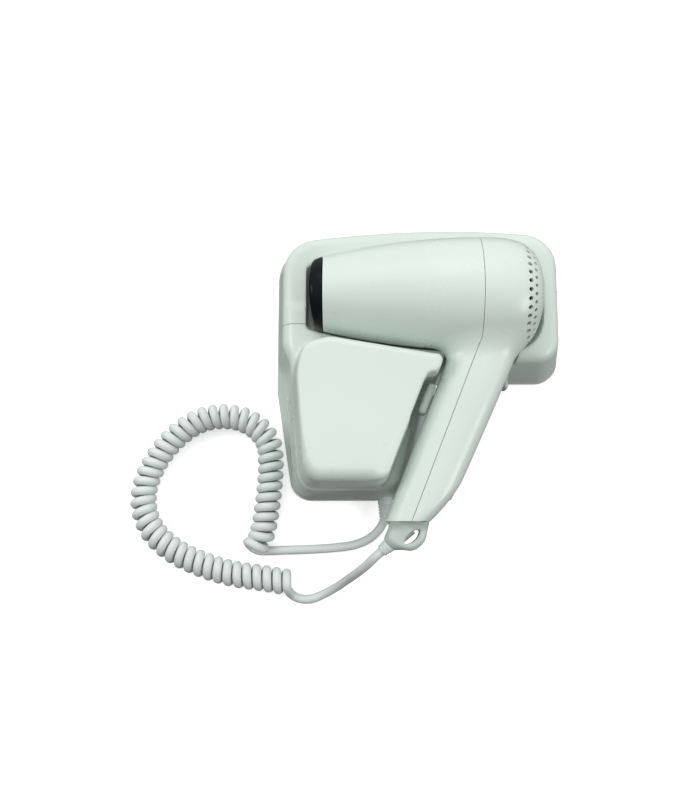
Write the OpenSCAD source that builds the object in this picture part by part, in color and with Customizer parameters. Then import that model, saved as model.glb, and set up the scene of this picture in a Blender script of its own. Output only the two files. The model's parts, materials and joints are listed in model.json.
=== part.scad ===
/* [Wall unit] */
// Width across the back, left edge to right edge
unit_w = 197; // [185:1:240]
// Height across the back, bottom edge to top edge
unit_h = 185; // [150:1:225]
// Depth from the wall to the flat front of the block
unit_d = 44; // [40:1:47]
// Depth from the wall to the front of the raised box
box_d = 76; // [68:1:82]
// Distance from the wall-screw centre to the left edge
unit_left = 45; // [42:1:52]
// Distance from the wall-screw centre to the bottom edge
unit_bottom = 87.5; // [85:0.5:100]
// Height at which the two covers meet, from the wall-screw centre
cover_seam_y = 27; // [24:1:30]
// Wall thickness of the covers
cover_wall = 2.5; // [2:0.1:3]
// Thickness of the back plate
plate_t = 3; // [2.5:0.1:4]
// Sideways spacing of the wall screws
screw_dx = 50; // [40:1:56]
// Upright spacing of the wall screws
screw_dy = 120; // [100:1:130]
// Diameter of the wall-screw holes
screw_hole_d = 5.2; // [4.2:0.1:6]
// Diameter of the supply cable's entry
supply_d = 12; // [9:0.5:14]

/* [Handset] */
// Length of the barrel, nozzle end to dome end
barrel_l = 153.5; // [145:0.5:160]
// Outside radius where the nozzle ring starts
nozzle_r = 22.7; // [21.5:0.1:27]
// Largest outside radius of the barrel
barrel_r = 37; // [34:0.5:40]
// Length of the nozzle ring
nozzle_l = 10; // [8:0.5:13]
// Length of the rear dome
dome_l = 42; // [36:1:48]
// Wall thickness of the handset shells
shell_wall = 2.2; // [1.8:0.1:2.6]
// Lean of the handle away from square to the barrel, degrees
handle_lean = 21.5; // [18:0.5:25]
// Handle half thickness, front to back
handle_half_t = 15.5; // [14:0.5:17]
// Distance from the barrel axis to the handle's end, square to the barrel
handle_drop = 149; // [140:1:170]
// Travel of the speed knob
knob_travel = 6; // [4:0.5:7]
// Length of the speed knob
knob_l = 21; // [20:0.5:24]

/* [Fan and heater] */
// Gap between the tips of the fan blades and the barrel's wall
fan_gap = 2.5; // [1:0.1:8]
// Number of fan blades
blade_count = 9; // [6:1:12]
// Radius of the motor
motor_r = 12; // [10:0.5:14]
// Radius of the motor shaft
shaft_r = 1; // [0.8:0.1:1.5]
// How far the mica sleeve around the heater stands in from the nozzle ring's outside
sleeve_gap = 4.5; // [4.5:0.1:7]
// Number of heater windings shown
winding_count = 9; // [6:1:12]

/* [Buttons] */
// Radius of the button under the wall unit
button_r = 4; // [3:0.25:4.5]
// Radius of the plunger that the resting handset presses
plunger_r = 2.2; // [1.8:0.1:2.6]
// Travel of that plunger
plunger_travel = 3; // [2:0.5:3]

/* [Cord] */
// Diameter of the cord
cord_d = 6; // [5:0.5:6.5]
// Outside diameter of the curled stretch
coil_d = 18; // [16:0.5:18]

/* [Fits] */
// Gap between the resting barrel and its cradle
cradle_gap = 1.2; // [0.8:0.1:2]
// Gap around sliding pieces
slide_gap = 0.3; // [0.2:0.05:0.4]

/* [Hidden] */
$fn = 64;

// Colours
white = [0.87, 0.90, 0.88];
pale = [0.82, 0.85, 0.84];
black = [0.06, 0.07, 0.08];
steel = [0.70, 0.71, 0.73];
mica = [0.80, 0.74, 0.60];
brass = [0.80, 0.66, 0.32];
green = [0.15, 0.38, 0.22];
amber = [0.62, 0.40, 0.16];

// Where the handset lies in the wall unit
barrel_y = 45.5;
barrel_z = 52;
nozzle_x = -21.5;
ring_x = nozzle_x + nozzle_l;
dome_end_x = nozzle_x + barrel_l;
seam_x = dome_end_x - dome_l;
dome_end_r = 15;
// The handle's own axis starts on the barrel's axis
handle_x = seam_x + 13;
handle_end_y = barrel_y - handle_drop;
v_end = handle_drop / cos(handle_lean);
handle_front_u = -15;
split_v = (handle_x - seam_x) / sin(handle_lean);

// ---------------------------------------------------------------- outlines

function unit_vec(v) = v / norm(v);

// Points of an arc of radius r in the corner at p, between neighbours a and b
function corner_arc(a, p, b, r, n) =
    let (u = unit_vec(a - p), w = unit_vec(b - p), half = acos(u * w) / 2,
        c = p + unit_vec(u + w) * r / sin(half),
        s = p + u * r / tan(half) - c, e = p + w * r / tan(half) - c,
        a0 = atan2(s.y, s.x), turn = atan2(s.x * e.y - s.y * e.x, s * e))
    [for (i = [0:n]) c + r * [cos(a0 + turn * i / n), sin(a0 + turn * i / n)]];

// Outline with each corner [x, y, radius] rounded, walked anticlockwise
function rounded(corners, n = 6) =
    let (k = len(corners), p = [for (c = corners) [c.x, c.y]])
    [for (i = [0:k - 1]) each
        corner_arc(p[(i + k - 1) % k], p[i], p[(i + 1) % k], corners[i][2], n)];

// The same corners with every side moved inwards by d
function inset(corners, d) =
    let (k = len(corners), p = [for (c = corners) [c.x, c.y]])
    [for (i = [0:k - 1])
        let (e = unit_vec(p[i] - p[(i + k - 1) % k]), f = unit_vec(p[(i + 1) % k] - p[i]),
            n = [-e.y, e.x], m = [-f.y, f.x], q = p[i] + d * (n + m) / (1 + n * m),
            convex = e.x * f.y - e.y * f.x > 0)
        [q.x, q.y, max(0.8, corners[i][2] + (convex ? -d : d))]];

function between(a, b, t) = [for (i = [0:len(a) - 1]) a[i] + (b[i] - a[i]) * t];

// Solid through a stack of equal-length rings of 3D points
module loft(rings) {
    n = len(rings[0]);
    k = len(rings);
    polyhedron(points = [for (r = rings) each r],
        faces = concat([[for (i = [0:n - 1]) i]],
            [[for (i = [n - 1:-1:0]) (k - 1) * n + i]],
            [for (j = [0:k - 2], i = [0:n - 1]) each let (m = (i + 1) % n)
                [[j * n + i, (j + 1) * n + i, (j + 1) * n + m],
                 [j * n + i, (j + 1) * n + m, j * n + m]]]));
}

function at_height(points, z) = [for (p = points) [p.x, p.y, z]];

// Drafted block from outline a at the wall to outline b at depth d, front edge rounded
// by edge, every face moved in by off, starting at height z0
module drafted_block(a, b, d, edge, off, z0) {
    e = max(edge - off, 1);
    shoulder = d - off - e;
    loft([at_height(rounded(inset(between(a, b, z0 / d), off)), z0),
        at_height(rounded(inset(between(a, b, shoulder / d), off)), shoulder),
        for (q = [22.5:22.5:90])
            let (z = shoulder + e * sin(q))
            at_height(rounded(inset(between(a, b, z / d), off + e * (1 - cos(q)))), z)]);
}

// ---------------------------------------------------------------- wall unit outlines

unit_right = unit_w - unit_left;
unit_top = unit_h - unit_bottom;
side_draft = 6.5;
block_low_y = -6;
block_edge = 7;
box_edge = 5;
// How far the underside rises from the wall to the front of the box
under_rise = 9.5;

// Corners [x, y, radius] at the wall, anticlockwise from the bottom left
back_corners = [[-unit_left + 11.5, -unit_bottom, 14], [handle_x - 56, -unit_bottom, 6],
    [handle_x - 38, block_low_y, 6], [unit_right, block_low_y, 16], [unit_right, unit_top - 4, 24],
    [0.75 * unit_right, unit_top + 0.6, 90], [0.1 * unit_right, unit_top, 90],
    [-unit_left, unit_top - 7, 24], [-unit_left, -12, 60]];
block_rise = under_rise * unit_d / box_d;
front_corners = [[-unit_left + 18, -unit_bottom + block_rise, 12],
    [handle_x - 67, -unit_bottom + block_rise, 6], [handle_x - 51, block_low_y + 9, 6],
    [unit_right - 7, block_low_y + 9, 12],
    [unit_right - 7, unit_top - 9, 20],
    [0.75 * unit_right, unit_top - 4.8, 90], [0.1 * unit_right, unit_top - 5.5, 90],
    [-unit_left + side_draft, unit_top - 13, 20], [-unit_left + side_draft, -12, 60]];
// The raised box, carried back to the wall behind its own front
box_back = [[-unit_left + 11.5, -unit_bottom, 14], [handle_x - 63, -unit_bottom, 6],
    [handle_x - 36, 7, 10], [-unit_left + 27, 22, 14], [-unit_left, -1, 14]];
box_front = [[-unit_left + 21, -unit_bottom + under_rise, 12],
    [handle_x - 72, -unit_bottom + under_rise, 6], [handle_x - 39.5, -1, 6],
    [-unit_left + 31, 15.5, 14], [-unit_left + 9, -7, 14]];

module unit_solid(off, z0) {
    drafted_block(back_corners, front_corners, unit_d, block_edge, off, z0);
    drafted_block(box_back, box_front, box_d, box_edge, off, z0);
}

// ---------------------------------------------------------------- barrel

// Outside radius of the barrel at x
function barrel_radius(x) =
    x <= seam_x
        ? let (t = max(0, (x - nozzle_x) / (seam_x - nozzle_x)))
            nozzle_r - 0.4 + (barrel_r - nozzle_r + 0.4) * (1 - pow(1 - t, 1.95))
        : let (s = min(1, (x - seam_x) / (dome_l + 1)))
            max(dome_end_r, barrel_r * pow(1 - pow(s, 3.4), 1 / 2.6));

barrel_steps = 8;
dome_steps = 9;
body_stations = [for (i = [0:barrel_steps]) ring_x + (seam_x - ring_x) * i / barrel_steps];
dome_stations = [for (i = [1:dome_steps]) seam_x + dome_l * sin(90 * i / dome_steps)];

// Turned solid about the barrel's axis, from [x, radius] points closed down to the axis
module turned(points) {
    first = points[0];
    last = points[len(points) - 1];
    translate([0, barrel_y, barrel_z]) rotate([0, 90, 0]) rotate_extrude($fn = 96)
        polygon(concat([[0, first[0]]], [for (p = points) [p[1], p[0]]], [[0, last[0]]]));
}

// A tube or rod on the barrel's axis
module rod_x(x0, x1, r_out, r_in = 0) {
    translate([x0, barrel_y, barrel_z]) rotate([0, 90, 0]) difference() {
        cylinder(h = x1 - x0, r = r_out);
        if (r_in > 0) translate([0, 0, -1]) cylinder(h = x1 - x0 + 2, r = r_in);
    }
}

// Barrel body from its front edge to its dome end, every face moved out by off
module barrel_body(off, x0) {
    turned(concat([for (x = body_stations) if (x > x0 + 0.1) [x, barrel_radius(x) + off]],
        [for (x = dome_stations) [x + off * (x - seam_x) / dome_l, barrel_radius(x) + off]]));
}

// Space that the cradle leaves for the barrel, with a steep rounded end before the nozzle
fade_l = 2.5;
dome_gap = 3.2;
module cradle_space(off) {
    grow = cradle_gap + off;
    turned(concat(
        [for (q = [0:22.5:90]) [nozzle_x - fade_l * cos(q) - off,
            9 + (nozzle_r - 9) * sin(q) + grow]],
        [for (x = body_stations) [x, barrel_radius(x) + grow]],
        [for (x = dome_stations) let (far = (x - seam_x) / dome_l,
            wide = grow + (dome_gap - cradle_gap) * far) [x + wide * far, barrel_radius(x) + wide]]));
}

// ---------------------------------------------------------------- handle

// The handle's frame: x across the handle towards its rear, -y along it to its end
module in_handle() {
    translate([handle_x, barrel_y, barrel_z]) rotate([0, 0, -handle_lean]) children();
}

// Rear edge of the handle at distance v along it
function rear_u(v) = 26 - 8.5 * pow(max(0, v - 20) / v_end, 1.5);

// Oval cross-section ring at v, faces moved in by off
handle_sides = 28;
function oval(a, b, p) = [for (i = [0:handle_sides - 1]) let (q = 360 * i / handle_sides)
    [a * sign(cos(q)) * pow(abs(cos(q)), 2 / p), b * sign(sin(q)) * pow(abs(sin(q)), 2 / p)]];
function handle_ring(v, off) =
    let (rear = rear_u(v), a = (rear - handle_front_u) / 2 - off,
        c = (rear + handle_front_u) / 2, o = oval(a, handle_half_t - off, 2.5))
    [for (p = o) [c + p.x, -v, p.y]];

module handle_core(off, v0) {
    in_handle() loft([for (v = [v0, 50, 90, 130, v_end + 20]) handle_ring(v, off)]);
}

// The handle down to its flat end, or past it by extra, with its rear corner sloped off
end_slope = 38.5;
end_slope_l = 20;
module handle_solid(off, v0, extra = 0) {
    low = [handle_x - 0.31 * handle_drop - off / sin(end_slope) - extra / tan(end_slope),
        handle_end_y - extra];
    high = low + (end_slope_l + extra / sin(end_slope)) * [cos(end_slope), sin(end_slope)];
    intersection() {
        handle_core(off, v0);
        linear_extrude(2 * barrel_z) polygon(rounded([
            [handle_x - 120, low.y, 1], [low.x, low.y, 3], [high.x, high.y, 8],
            [handle_x + 60, barrel_y, 1], [handle_x - 120, barrel_y, 1]]));
    }
}

// The parting line: square to the barrel at seam_x, then along the handle's middle
module front_side() {
    drop = 2 * handle_drop;
    linear_extrude(2 * barrel_z + 40) polygon([[nozzle_x - 60, barrel_y + 80],
        [seam_x, barrel_y + 80], [seam_x, barrel_y - split_v * cos(handle_lean)],
        [handle_x - drop * sin(handle_lean), barrel_y - drop * cos(handle_lean)],
        [nozzle_x - 60, barrel_y - drop * cos(handle_lean)]]);
}

module handset_shell() {
    difference() {
        union() {
            barrel_body(0, ring_x - 1);
            handle_solid(0, 25);
        }
        barrel_body(-shell_wall, ring_x - 3);
        rod_x(ring_x - 1, ring_x + 14, barrel_radius(ring_x) - shell_wall);
        handle_solid(shell_wall, 20, 5);
    }
}

// ---------------------------------------------------------------- pieces of the wall unit

rim_h = 7;
rim_gap = 2.2;
screw_seat_y = unit_top - 7;
screw_z = 14;
cover_screw_x = [20, 100];
lug_gap = 0.3;
trough_pin_x = 60;
trough_bottom_z = barrel_z - barrel_radius(trough_pin_x) - cradle_gap - cover_wall;
supply_at = [-5, -12];
button_x = 14;
under_tilt = atan(under_rise / box_d);
button_z = 12;
button_y = -unit_bottom + button_z * tan(under_tilt);
collar_r = button_r + 1.7;
switch_half_w = 7.5;
clamp_y = -unit_bottom + 17;
clamp_screw_x = cord_d / 2 + 2.5;
clamp_w = 2 * clamp_screw_x + 5;
// The cord enters beside the switch behind the button
gland_x = button_x + switch_half_w + 0.5 + clamp_w / 2;
gland_z = 9;
gland_r = cord_d / 2 + 2;
terminal_at = [-14, -50];
switch_z = plate_t + 0.1;

// Frame of the button under the unit: z points out of the sloping underside
module in_underside() {
    translate([button_x, button_y, button_z]) rotate([90 - under_tilt, 0, 0]) children();
}

module at_wall_screws() {
    for (x = [-1, 1], y = [-1, 1]) translate([x * screw_dx / 2, y * screw_dy / 2, 0]) children();
}

module at_cover_screws() {
    for (x = cover_screw_x) translate([x, screw_seat_y, screw_z]) rotate([-90, 0, 0]) children();
}

module gland_bore(r) {
    translate([gland_x, -unit_bottom - 2, gland_z]) rotate([-90, 0, 0]) cylinder(h = 13, r = r);
}

module back_plate() color(white) difference() {
    union() {
        linear_extrude(plate_t) polygon(rounded(back_corners));
        linear_extrude(rim_h) difference() {
            polygon(rounded(inset(back_corners, cover_wall + rim_gap)));
            polygon(rounded(inset(back_corners, cover_wall + rim_gap + 1.8)));
        }
        for (x = cover_screw_x) translate([x - 6, screw_seat_y - 17, 0]) cube([12, 9, 20]);
        at_wall_screws() cylinder(h = plate_t + 1.5, r = screw_hole_d / 2 + 3);
        // Bridge under the cord clamp
        translate([gland_x - clamp_w / 2, clamp_y - 4, 0])
            cube([clamp_w, 8, gland_z - cord_d / 2 - 0.1]);
    }
    at_wall_screws() translate([0, 0, -1]) cylinder(h = plate_t + 4, r = screw_hole_d / 2);
    translate([supply_at.x, supply_at.y, -1]) cylinder(h = plate_t + 2, r = supply_d / 2 + 3);
    at_cover_screws() translate([0, 0, -18]) cylinder(h = 14, r = 1.5);
    gland_bore(gland_r + 1.4);
    in_underside() translate([0, 0, -12]) cylinder(h = 14, r = collar_r + 0.6);
}

// Both covers as one hollow shell, with the cradle sunk into it
module cover_shell() difference() {
    union() {
        difference() {
            unit_solid(0, plate_t);
            unit_solid(cover_wall, plate_t - 1);
        }
        intersection() {
            unit_solid(0.2, plate_t);
            cradle_space(cover_wall);
        }
    }
    cradle_space(0);
    // Notch for the handle's neck
    in_handle() translate([handle_front_u - 2, -62, -handle_half_t - 2])
        cube([rear_u(30) - handle_front_u + 4, 45, 60]);
}

// The lower cover's share: below the seam, and left of its turn down behind the handle
seam_turn_x = handle_x - 19;
module lower_share() {
    translate([-unit_left - 20, -unit_bottom - 20, 0])
        cube([seam_turn_x + unit_left + 20, cover_seam_y + unit_bottom + 20, box_d + 10]);
}

// Each cover is free-form all over, so it is taken as one mesh
module as_mesh() resize([0, 0, 0]) children();

module upper_cover() color(white) as_mesh() difference() {
    union() {
        difference() {
            cover_shell();
            lower_share();
        }
        intersection() {
            at_cover_screws() translate([0, 0, -lug_gap - 7.2]) cylinder(h = 14, r = 6.5);
            drafted_block(back_corners, front_corners, unit_d, block_edge, 0.5, plate_t);
        }
    }
    at_cover_screws() {
        cylinder(h = 20, r = 4.1);
        translate([0, 0, -12]) cylinder(h = 14, r = 1.8);
    }
    translate([trough_pin_x, barrel_y, 0]) cylinder(h = barrel_z, r = plunger_r + slide_gap);
}

knob_front_u = handle_front_u - 5.5;
knob_v = 72.5;

module lower_cover() color(white) as_mesh() difference() {
    intersection() {
        cover_shell();
        lower_share();
    }
    // Finger space beside the speed knob
    in_handle() translate([knob_front_u - 3, -knob_v - knob_l - knob_travel - 3, -22])
        cube([12, knob_l + knob_travel + 8, 60]);
    gland_bore(gland_r + 0.3);
    in_underside() translate([0, 0, -8]) cylinder(h = 20, r = collar_r + 0.15);
}

module cradle_peg() color(pale) {
    translate([104, block_low_y - 9, 22]) difference() {
        cube([8, 12, 13]);
        translate([2, -1, 2]) cube([4, 9, 20]);
    }
}

module cover_screws() color(steel) at_cover_screws() difference() {
    union() {
        cylinder(h = 2.2, r = 3.6);
        translate([0, 0, -15]) cylinder(h = 16, r = 1.45);
    }
    for (a = [0, 90]) rotate(a) translate([-2, -0.4, 1]) cube([4, 0.8, 2]);
}

module supply_grommet() color(black) translate([supply_at.x, supply_at.y, 0]) difference() {
    union() {
        cylinder(h = plate_t + 2, r = supply_d / 2 + 2.8);
        translate([0, 0, plate_t]) cylinder(h = 2, r = supply_d / 2 + 5);
    }
    translate([0, 0, -1]) cylinder(h = plate_t + 5, r = supply_d / 2);
}

terminal_l = 34;
module terminal_block() color(pale) translate([terminal_at.x, terminal_at.y, switch_z]) difference() {
    cube([terminal_l, 16, 12]);
    for (i = [0:2]) translate([6 + 11 * i, 8, -1]) {
        cylinder(h = 20, r = 2.6);
        translate([0, -10, 5]) rotate([-90, 0, 0]) cylinder(h = 20, r = 1.8);
    }
}

module terminal_screws() color(brass) for (i = [0:2])
    translate([terminal_at.x + 6 + 11 * i, terminal_at.y + 8, switch_z + 6]) difference() {
        cylinder(h = 5, r = 2.4);
        translate([-3, -0.4, 4]) cube([6, 0.8, 2]);
    }

safety_h = trough_bottom_z - plunger_travel - 1.5 - switch_z;
module safety_switch() color(black) translate([trough_pin_x, barrel_y, switch_z]) difference() {
    translate([-12, -6, 0]) cube([24, 12, safety_h]);
    translate([0, 0, 1]) cylinder(h = safety_h, r = plunger_r + slide_gap);
}

spring_h = 1.6;
module safety_plunger() color(pale) translate([trough_pin_x, barrel_y, 0]) {
    top = barrel_z - barrel_radius(trough_pin_x) - slide_gap;
    foot = switch_z + 1 + spring_h;
    translate([0, 0, foot]) cylinder(h = top - foot, r = plunger_r);
    translate([0, 0, switch_z + safety_h + 0.2]) cylinder(h = 0.8, r = plunger_r + 1.2);
}

module plunger_spring() color(steel) translate([trough_pin_x, barrel_y, switch_z + 1]) difference() {
    cylinder(h = spring_h, r = plunger_r - 0.2);
    translate([0, 0, -1]) cylinder(h = spring_h + 2, r = plunger_r - 0.8);
}

button_depth = 7;
module mains_switch() color(black) in_underside() {
    translate([-switch_half_w, -2.8, -button_depth - 15.5]) cube([2 * switch_half_w, 11.3, 12.5]);
}

module base_button() color(pale) in_underside() {
    translate([0, 0, -button_depth + 4.2]) cylinder(h = button_depth - 3.2, r = button_r);
}

module button_collar() color(white) in_underside() difference() {
    translate([0, 0, -button_depth + 4]) cylinder(h = button_depth - 3.4, r = collar_r);
    translate([0, 0, -button_depth]) cylinder(h = button_depth + 4, r = button_r + slide_gap);
}

gland_l = 17;
module base_cord_gland() color(white)
    translate([gland_x, -unit_bottom, gland_z]) rotate([90, 0, 0]) difference() {
        union() {
            cylinder(h = 2, r = gland_r);
            translate([0, 0, -cover_wall - 5.2]) cylinder(h = cover_wall + 6.2, r = gland_r);
            translate([0, 0, -cover_wall - 5.2]) cylinder(h = 1.5, r = gland_r + 0.8);
            translate([0, 0, 2]) cylinder(h = gland_l - 2, r1 = gland_r, r2 = cord_d / 2 + 0.6);
        }
        translate([0, 0, -20]) cylinder(h = 60, r = cord_d / 2);
    }

module cord_clamp() color(pale) translate([gland_x, clamp_y, gland_z]) difference() {
    translate([-clamp_w / 2, -4, 0.3]) cube([clamp_w, 8, cord_d / 2 + 2]);
    rotate([90, 0, 0]) cylinder(h = 20, r = cord_d / 2, center = true);
    for (x = [-1, 1]) translate([x * clamp_screw_x, 0, -5]) cylinder(h = 20, r = 1.6);
}

module clamp_screws() color(steel) for (x = [-1, 1])
    translate([gland_x + x * clamp_screw_x, clamp_y, gland_z + cord_d / 2 + 2.3]) {
        cylinder(h = 1.8, r = 2.8);
        translate([0, 0, -5.3]) cylinder(h = 6, r = 1.45);
    }

// Wire or cord swept along its points
function along(p, i) = unit_vec(p[min(i + 1, len(p) - 1)] - p[max(i - 1, 0)]);
module swept(points, r, sides) {
    loft([for (i = [0:len(points) - 1])
        let (t = along(points, i), s = unit_vec(cross(abs(t.z) < 0.9 ? [0, 0, 1] : [1, 0, 0], t)),
            n = cross(t, s))
        [for (j = [0:sides - 1]) let (q = 360 * j / sides)
            points[i] + r * (cos(q) * s + sin(q) * n)]]);
}

wire_r = 0.9;
module base_wiring() {
    supply = [[supply_at.x, supply_at.y, 6], [supply_at.x - 2, supply_at.y, 11],
        [supply_at.x - 6, supply_at.y - 6, 13], [terminal_at.x + 12, terminal_at.y + 24, 11],
        [terminal_at.x + 12, terminal_at.y + 16.5, 8.1]];
    for (i = [0:2]) color([amber, green, black][i])
        swept([for (p = supply) p + [(i - 1) * 3, 0, 0]], wire_r, 6);
    color(black) swept([[terminal_at.x + 17, terminal_at.y - 0.5, 8.1],
        [terminal_at.x + 19, terminal_at.y - 6, 8.1], [1, -66, 9.5], [5.4, -69, 11]], wire_r, 6);
    color(amber) swept([[trough_pin_x - 13, barrel_y, 7], [30, 30, 8], [10, 0, 12],
        [terminal_at.x + 28, terminal_at.y + 22, 11],
        [terminal_at.x + 28, terminal_at.y + 16.5, 8.1]], wire_r, 6);
}

// ---------------------------------------------------------------- pieces of the handset

slot_rows = [[dome_end_x - 12, 26], [dome_end_x - 6, 20]];
slot_w = 2;
screw_v = [58, 134];

module at_shell_screws() {
    for (v = screw_v) in_handle() translate([0, -v, 0]) rotate([0, 90, 0]) children();
}

module knob_slot(grow) {
    in_handle() translate([handle_front_u - 3, -knob_v - knob_l / 2 - 4 - knob_travel - grow, -2 - grow])
        cube([8, 8 + knob_travel + 2 * grow, 4 + 2 * grow]);
}

module front_shell() color(white) difference() {
    union() {
        intersection() {
            handset_shell();
            front_side();
        }
        // Screw posts
        intersection() {
            handle_solid(1, 40);
            at_shell_screws() translate([0, 0, -20.1]) cylinder(h = 20, r = 2.8);
        }
    }
    at_shell_screws() translate([0, 0, -7]) cylinder(h = 8, r = 1.3);
    knob_slot(slide_gap);
}

module rear_shell() color(white) difference() {
    union() {
        difference() {
            handset_shell();
            front_side();
        }
        intersection() {
            handle_solid(1, 40);
            at_shell_screws() translate([0, 0, 0.1]) cylinder(h = 40, r = 4.2);
        }
    }
    at_shell_screws() {
        translate([0, 0, -1]) cylinder(h = 50, r = 1.6);
        translate([0, 0, 9]) cylinder(h = 50, r = 3);
    }
    for (row = slot_rows, i = [0:row[1] - 1])
        translate([row[0], barrel_y, barrel_z]) rotate([360 * i / row[1], 0, 0])
            translate([-1.6, 10, -slot_w / 2]) cube([4.2, 40, slot_w]);
}

// The nozzle ring bows forward a little at its end
module nozzle_ring() color(black) {
    difference() {
        turned([[nozzle_x, nozzle_r - 1.6], [nozzle_x + 1, nozzle_r - 0.5],
            [nozzle_x + 3, nozzle_r - 0.2], [ring_x - 1, barrel_radius(ring_x)]]);
        rod_x(nozzle_x - 1, ring_x + 5, nozzle_r - 3.4);
    }
    difference() {
        rod_x(ring_x - 1.5, ring_x + 5, barrel_radius(ring_x) - shell_wall - 0.1, nozzle_r - 3.4);
        rod_x(ring_x + 6, ring_x + 7, 1);
    }
}

grille_x = nozzle_x + 4;
grille_r = nozzle_r - 3.5;
module outlet_grille() color(black) {
    rib = 1.2;
    for (i = [1:3]) let (r = grille_r * i / 4)
        rod_x(grille_x + 0.3, grille_x + 1.7, r + rib / 2, r - rib / 2);
    rod_x(grille_x, grille_x + 2.4, grille_r, grille_r - 1.4);
    translate([grille_x + 0.6, barrel_y, barrel_z]) for (a = [10:60:310]) rotate([a, 0, 0])
        translate([0, 0, -rib / 2]) cube([1.5, grille_r - 0.7, rib]);
}

sleeve_r = nozzle_r - sleeve_gap;
sleeve_x0 = ring_x + 7;
sleeve_x1 = seam_x - 34;
module mica_sleeve() color(mica) rod_x(sleeve_x0, sleeve_x1, sleeve_r, sleeve_r - 0.8);

card_r = sleeve_r - 4.5;
module heater_cards() color(mica) translate([sleeve_x0 + 2, barrel_y, barrel_z])
    for (a = [0, 90]) rotate([a, 0, 0])
        translate([0, -card_r, -0.4]) cube([sleeve_x1 - sleeve_x0 - 4, 2 * card_r, 0.8]);

heater_wire_r = 0.7;
module heater_coil() color(steel) for (i = [0:winding_count - 1])
    translate([sleeve_x0 + 5 + i * (sleeve_x1 - sleeve_x0 - 10) / (winding_count - 1),
        barrel_y, barrel_z])
        rotate([0, 90, 0]) rotate_extrude($fn = 48)
            translate([card_r + heater_wire_r + 0.05, 0]) circle(r = heater_wire_r, $fn = 12);

module thermostat() color(steel)
    translate([sleeve_x1 - 14, barrel_y + 8, barrel_z + 0.4]) cylinder(h = 4, r = 5);

module thermal_fuse() color(brass)
    translate([sleeve_x1 - 20, barrel_y - 8, barrel_z + 2]) rotate([0, 90, 0])
        cylinder(h = 12, r = 1.6);

motor_x0 = seam_x - 24;
motor_l = 25;
fan_x0 = motor_x0 + motor_l + 3;
duct_r = barrel_radius(motor_x0) - shell_wall - 1;
module fan_duct() color(pale) {
    rod_x(motor_x0, motor_x0 + 16, motor_r + 2, motor_r + 0.1);
    rod_x(motor_x0, motor_x0 + 16, duct_r, duct_r - 1.6);
    for (a = [0:60:300]) translate([motor_x0, barrel_y, barrel_z]) rotate([a, 0, 0])
        translate([1, motor_r + 1.1, -0.7]) cube([14, duct_r - motor_r - 1.9, 1.4]);
}

module motor() color(steel) rod_x(motor_x0, motor_x0 + motor_l, motor_r, shaft_r + 0.4);

module motor_shaft() color(steel)
    rod_x(motor_x0 + 2, fan_x0 + 10, shaft_r);

impeller_r = barrel_r - shell_wall - fan_gap;
blade_w = 9;
hub_r = 7;
module impeller() color(pale) {
    rod_x(fan_x0, fan_x0 + 10, hub_r, shaft_r);
    for (i = [0:blade_count - 1]) translate([fan_x0 + 5, barrel_y, barrel_z])
        rotate([360 * i / blade_count, 0, 0]) translate([0, hub_r - 0.5, 0]) rotate([0, 45, 0])
            translate([-blade_w / 2, 0, -0.6]) cube([blade_w, impeller_r - hub_r + 0.1, 1.2]);
}

filter_x = dome_end_x - 16;
module inlet_filter() color(black)
    rod_x(filter_x, filter_x + 1.2, barrel_radius(filter_x + 4) - shell_wall - 0.6);

// The knob's stem passes through the shell to the switch inside
stem_v = knob_v + knob_l / 2;
module switch_knob() color(white) in_handle() translate([0, -stem_v, 0]) {
    translate([knob_front_u, -knob_l / 2, -6]) cube([5.1, knob_l, 12]);
    translate([knob_front_u + 4, -4, -2]) cube([7.5, 8, 4]);
}

inner_u = handle_front_u + shell_wall;
module switch_plate() color(black) in_handle() difference() {
    translate([inner_u + 1.4, -stem_v - 14 - knob_travel, -5.5]) cube([0.8, 28 + knob_travel, 11]);
    translate([inner_u, -stem_v - 4.4 - knob_travel, -2.4]) cube([3, 8.8 + knob_travel, 4.8]);
}

module switch_body() color(black) in_handle() difference() {
    translate([inner_u + 2.4, -stem_v - 14 - knob_travel, -6]) cube([9, 28 + knob_travel, 12]);
    translate([inner_u + 1, -stem_v - 4.4 - knob_travel, -2.4]) cube([5, 8.8 + knob_travel, 4.8]);
}

module circuit_board() color(green) in_handle()
    translate([inner_u + 2.5, -stem_v - 38 - knob_travel, -8]) cube([1.6, 22, 16]);

module diodes() color(black) in_handle() for (i = [-1, 1])
    translate([inner_u + 5.7, -stem_v - 27 - knob_travel + 5 * i, -4]) cylinder(h = 8, r = 1.5);

// End cap, outlined from its joint with the handle round the hanging loop
cap_half_t = 8;
loop_slot_w = 6.4;
loop_at = [[41.5, handle_end_y - 12.8], [48.5, handle_end_y - 6.7]];
cap_corners = [[31.5, handle_end_y, 0.8], [28.5, handle_end_y - 12, 3],
    [36, handle_end_y - 19, 8], [52.5, handle_end_y - 18, 11], [56, handle_end_y, 0.8]];
relief_at = [33.5, handle_end_y - 12.5, barrel_z];
relief_turn = 219;
relief_out = 7.5;
relief_in = 14.5;

module in_relief() translate(relief_at) rotate([0, 0, relief_turn]) rotate([0, 90, 0]) children();

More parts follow.
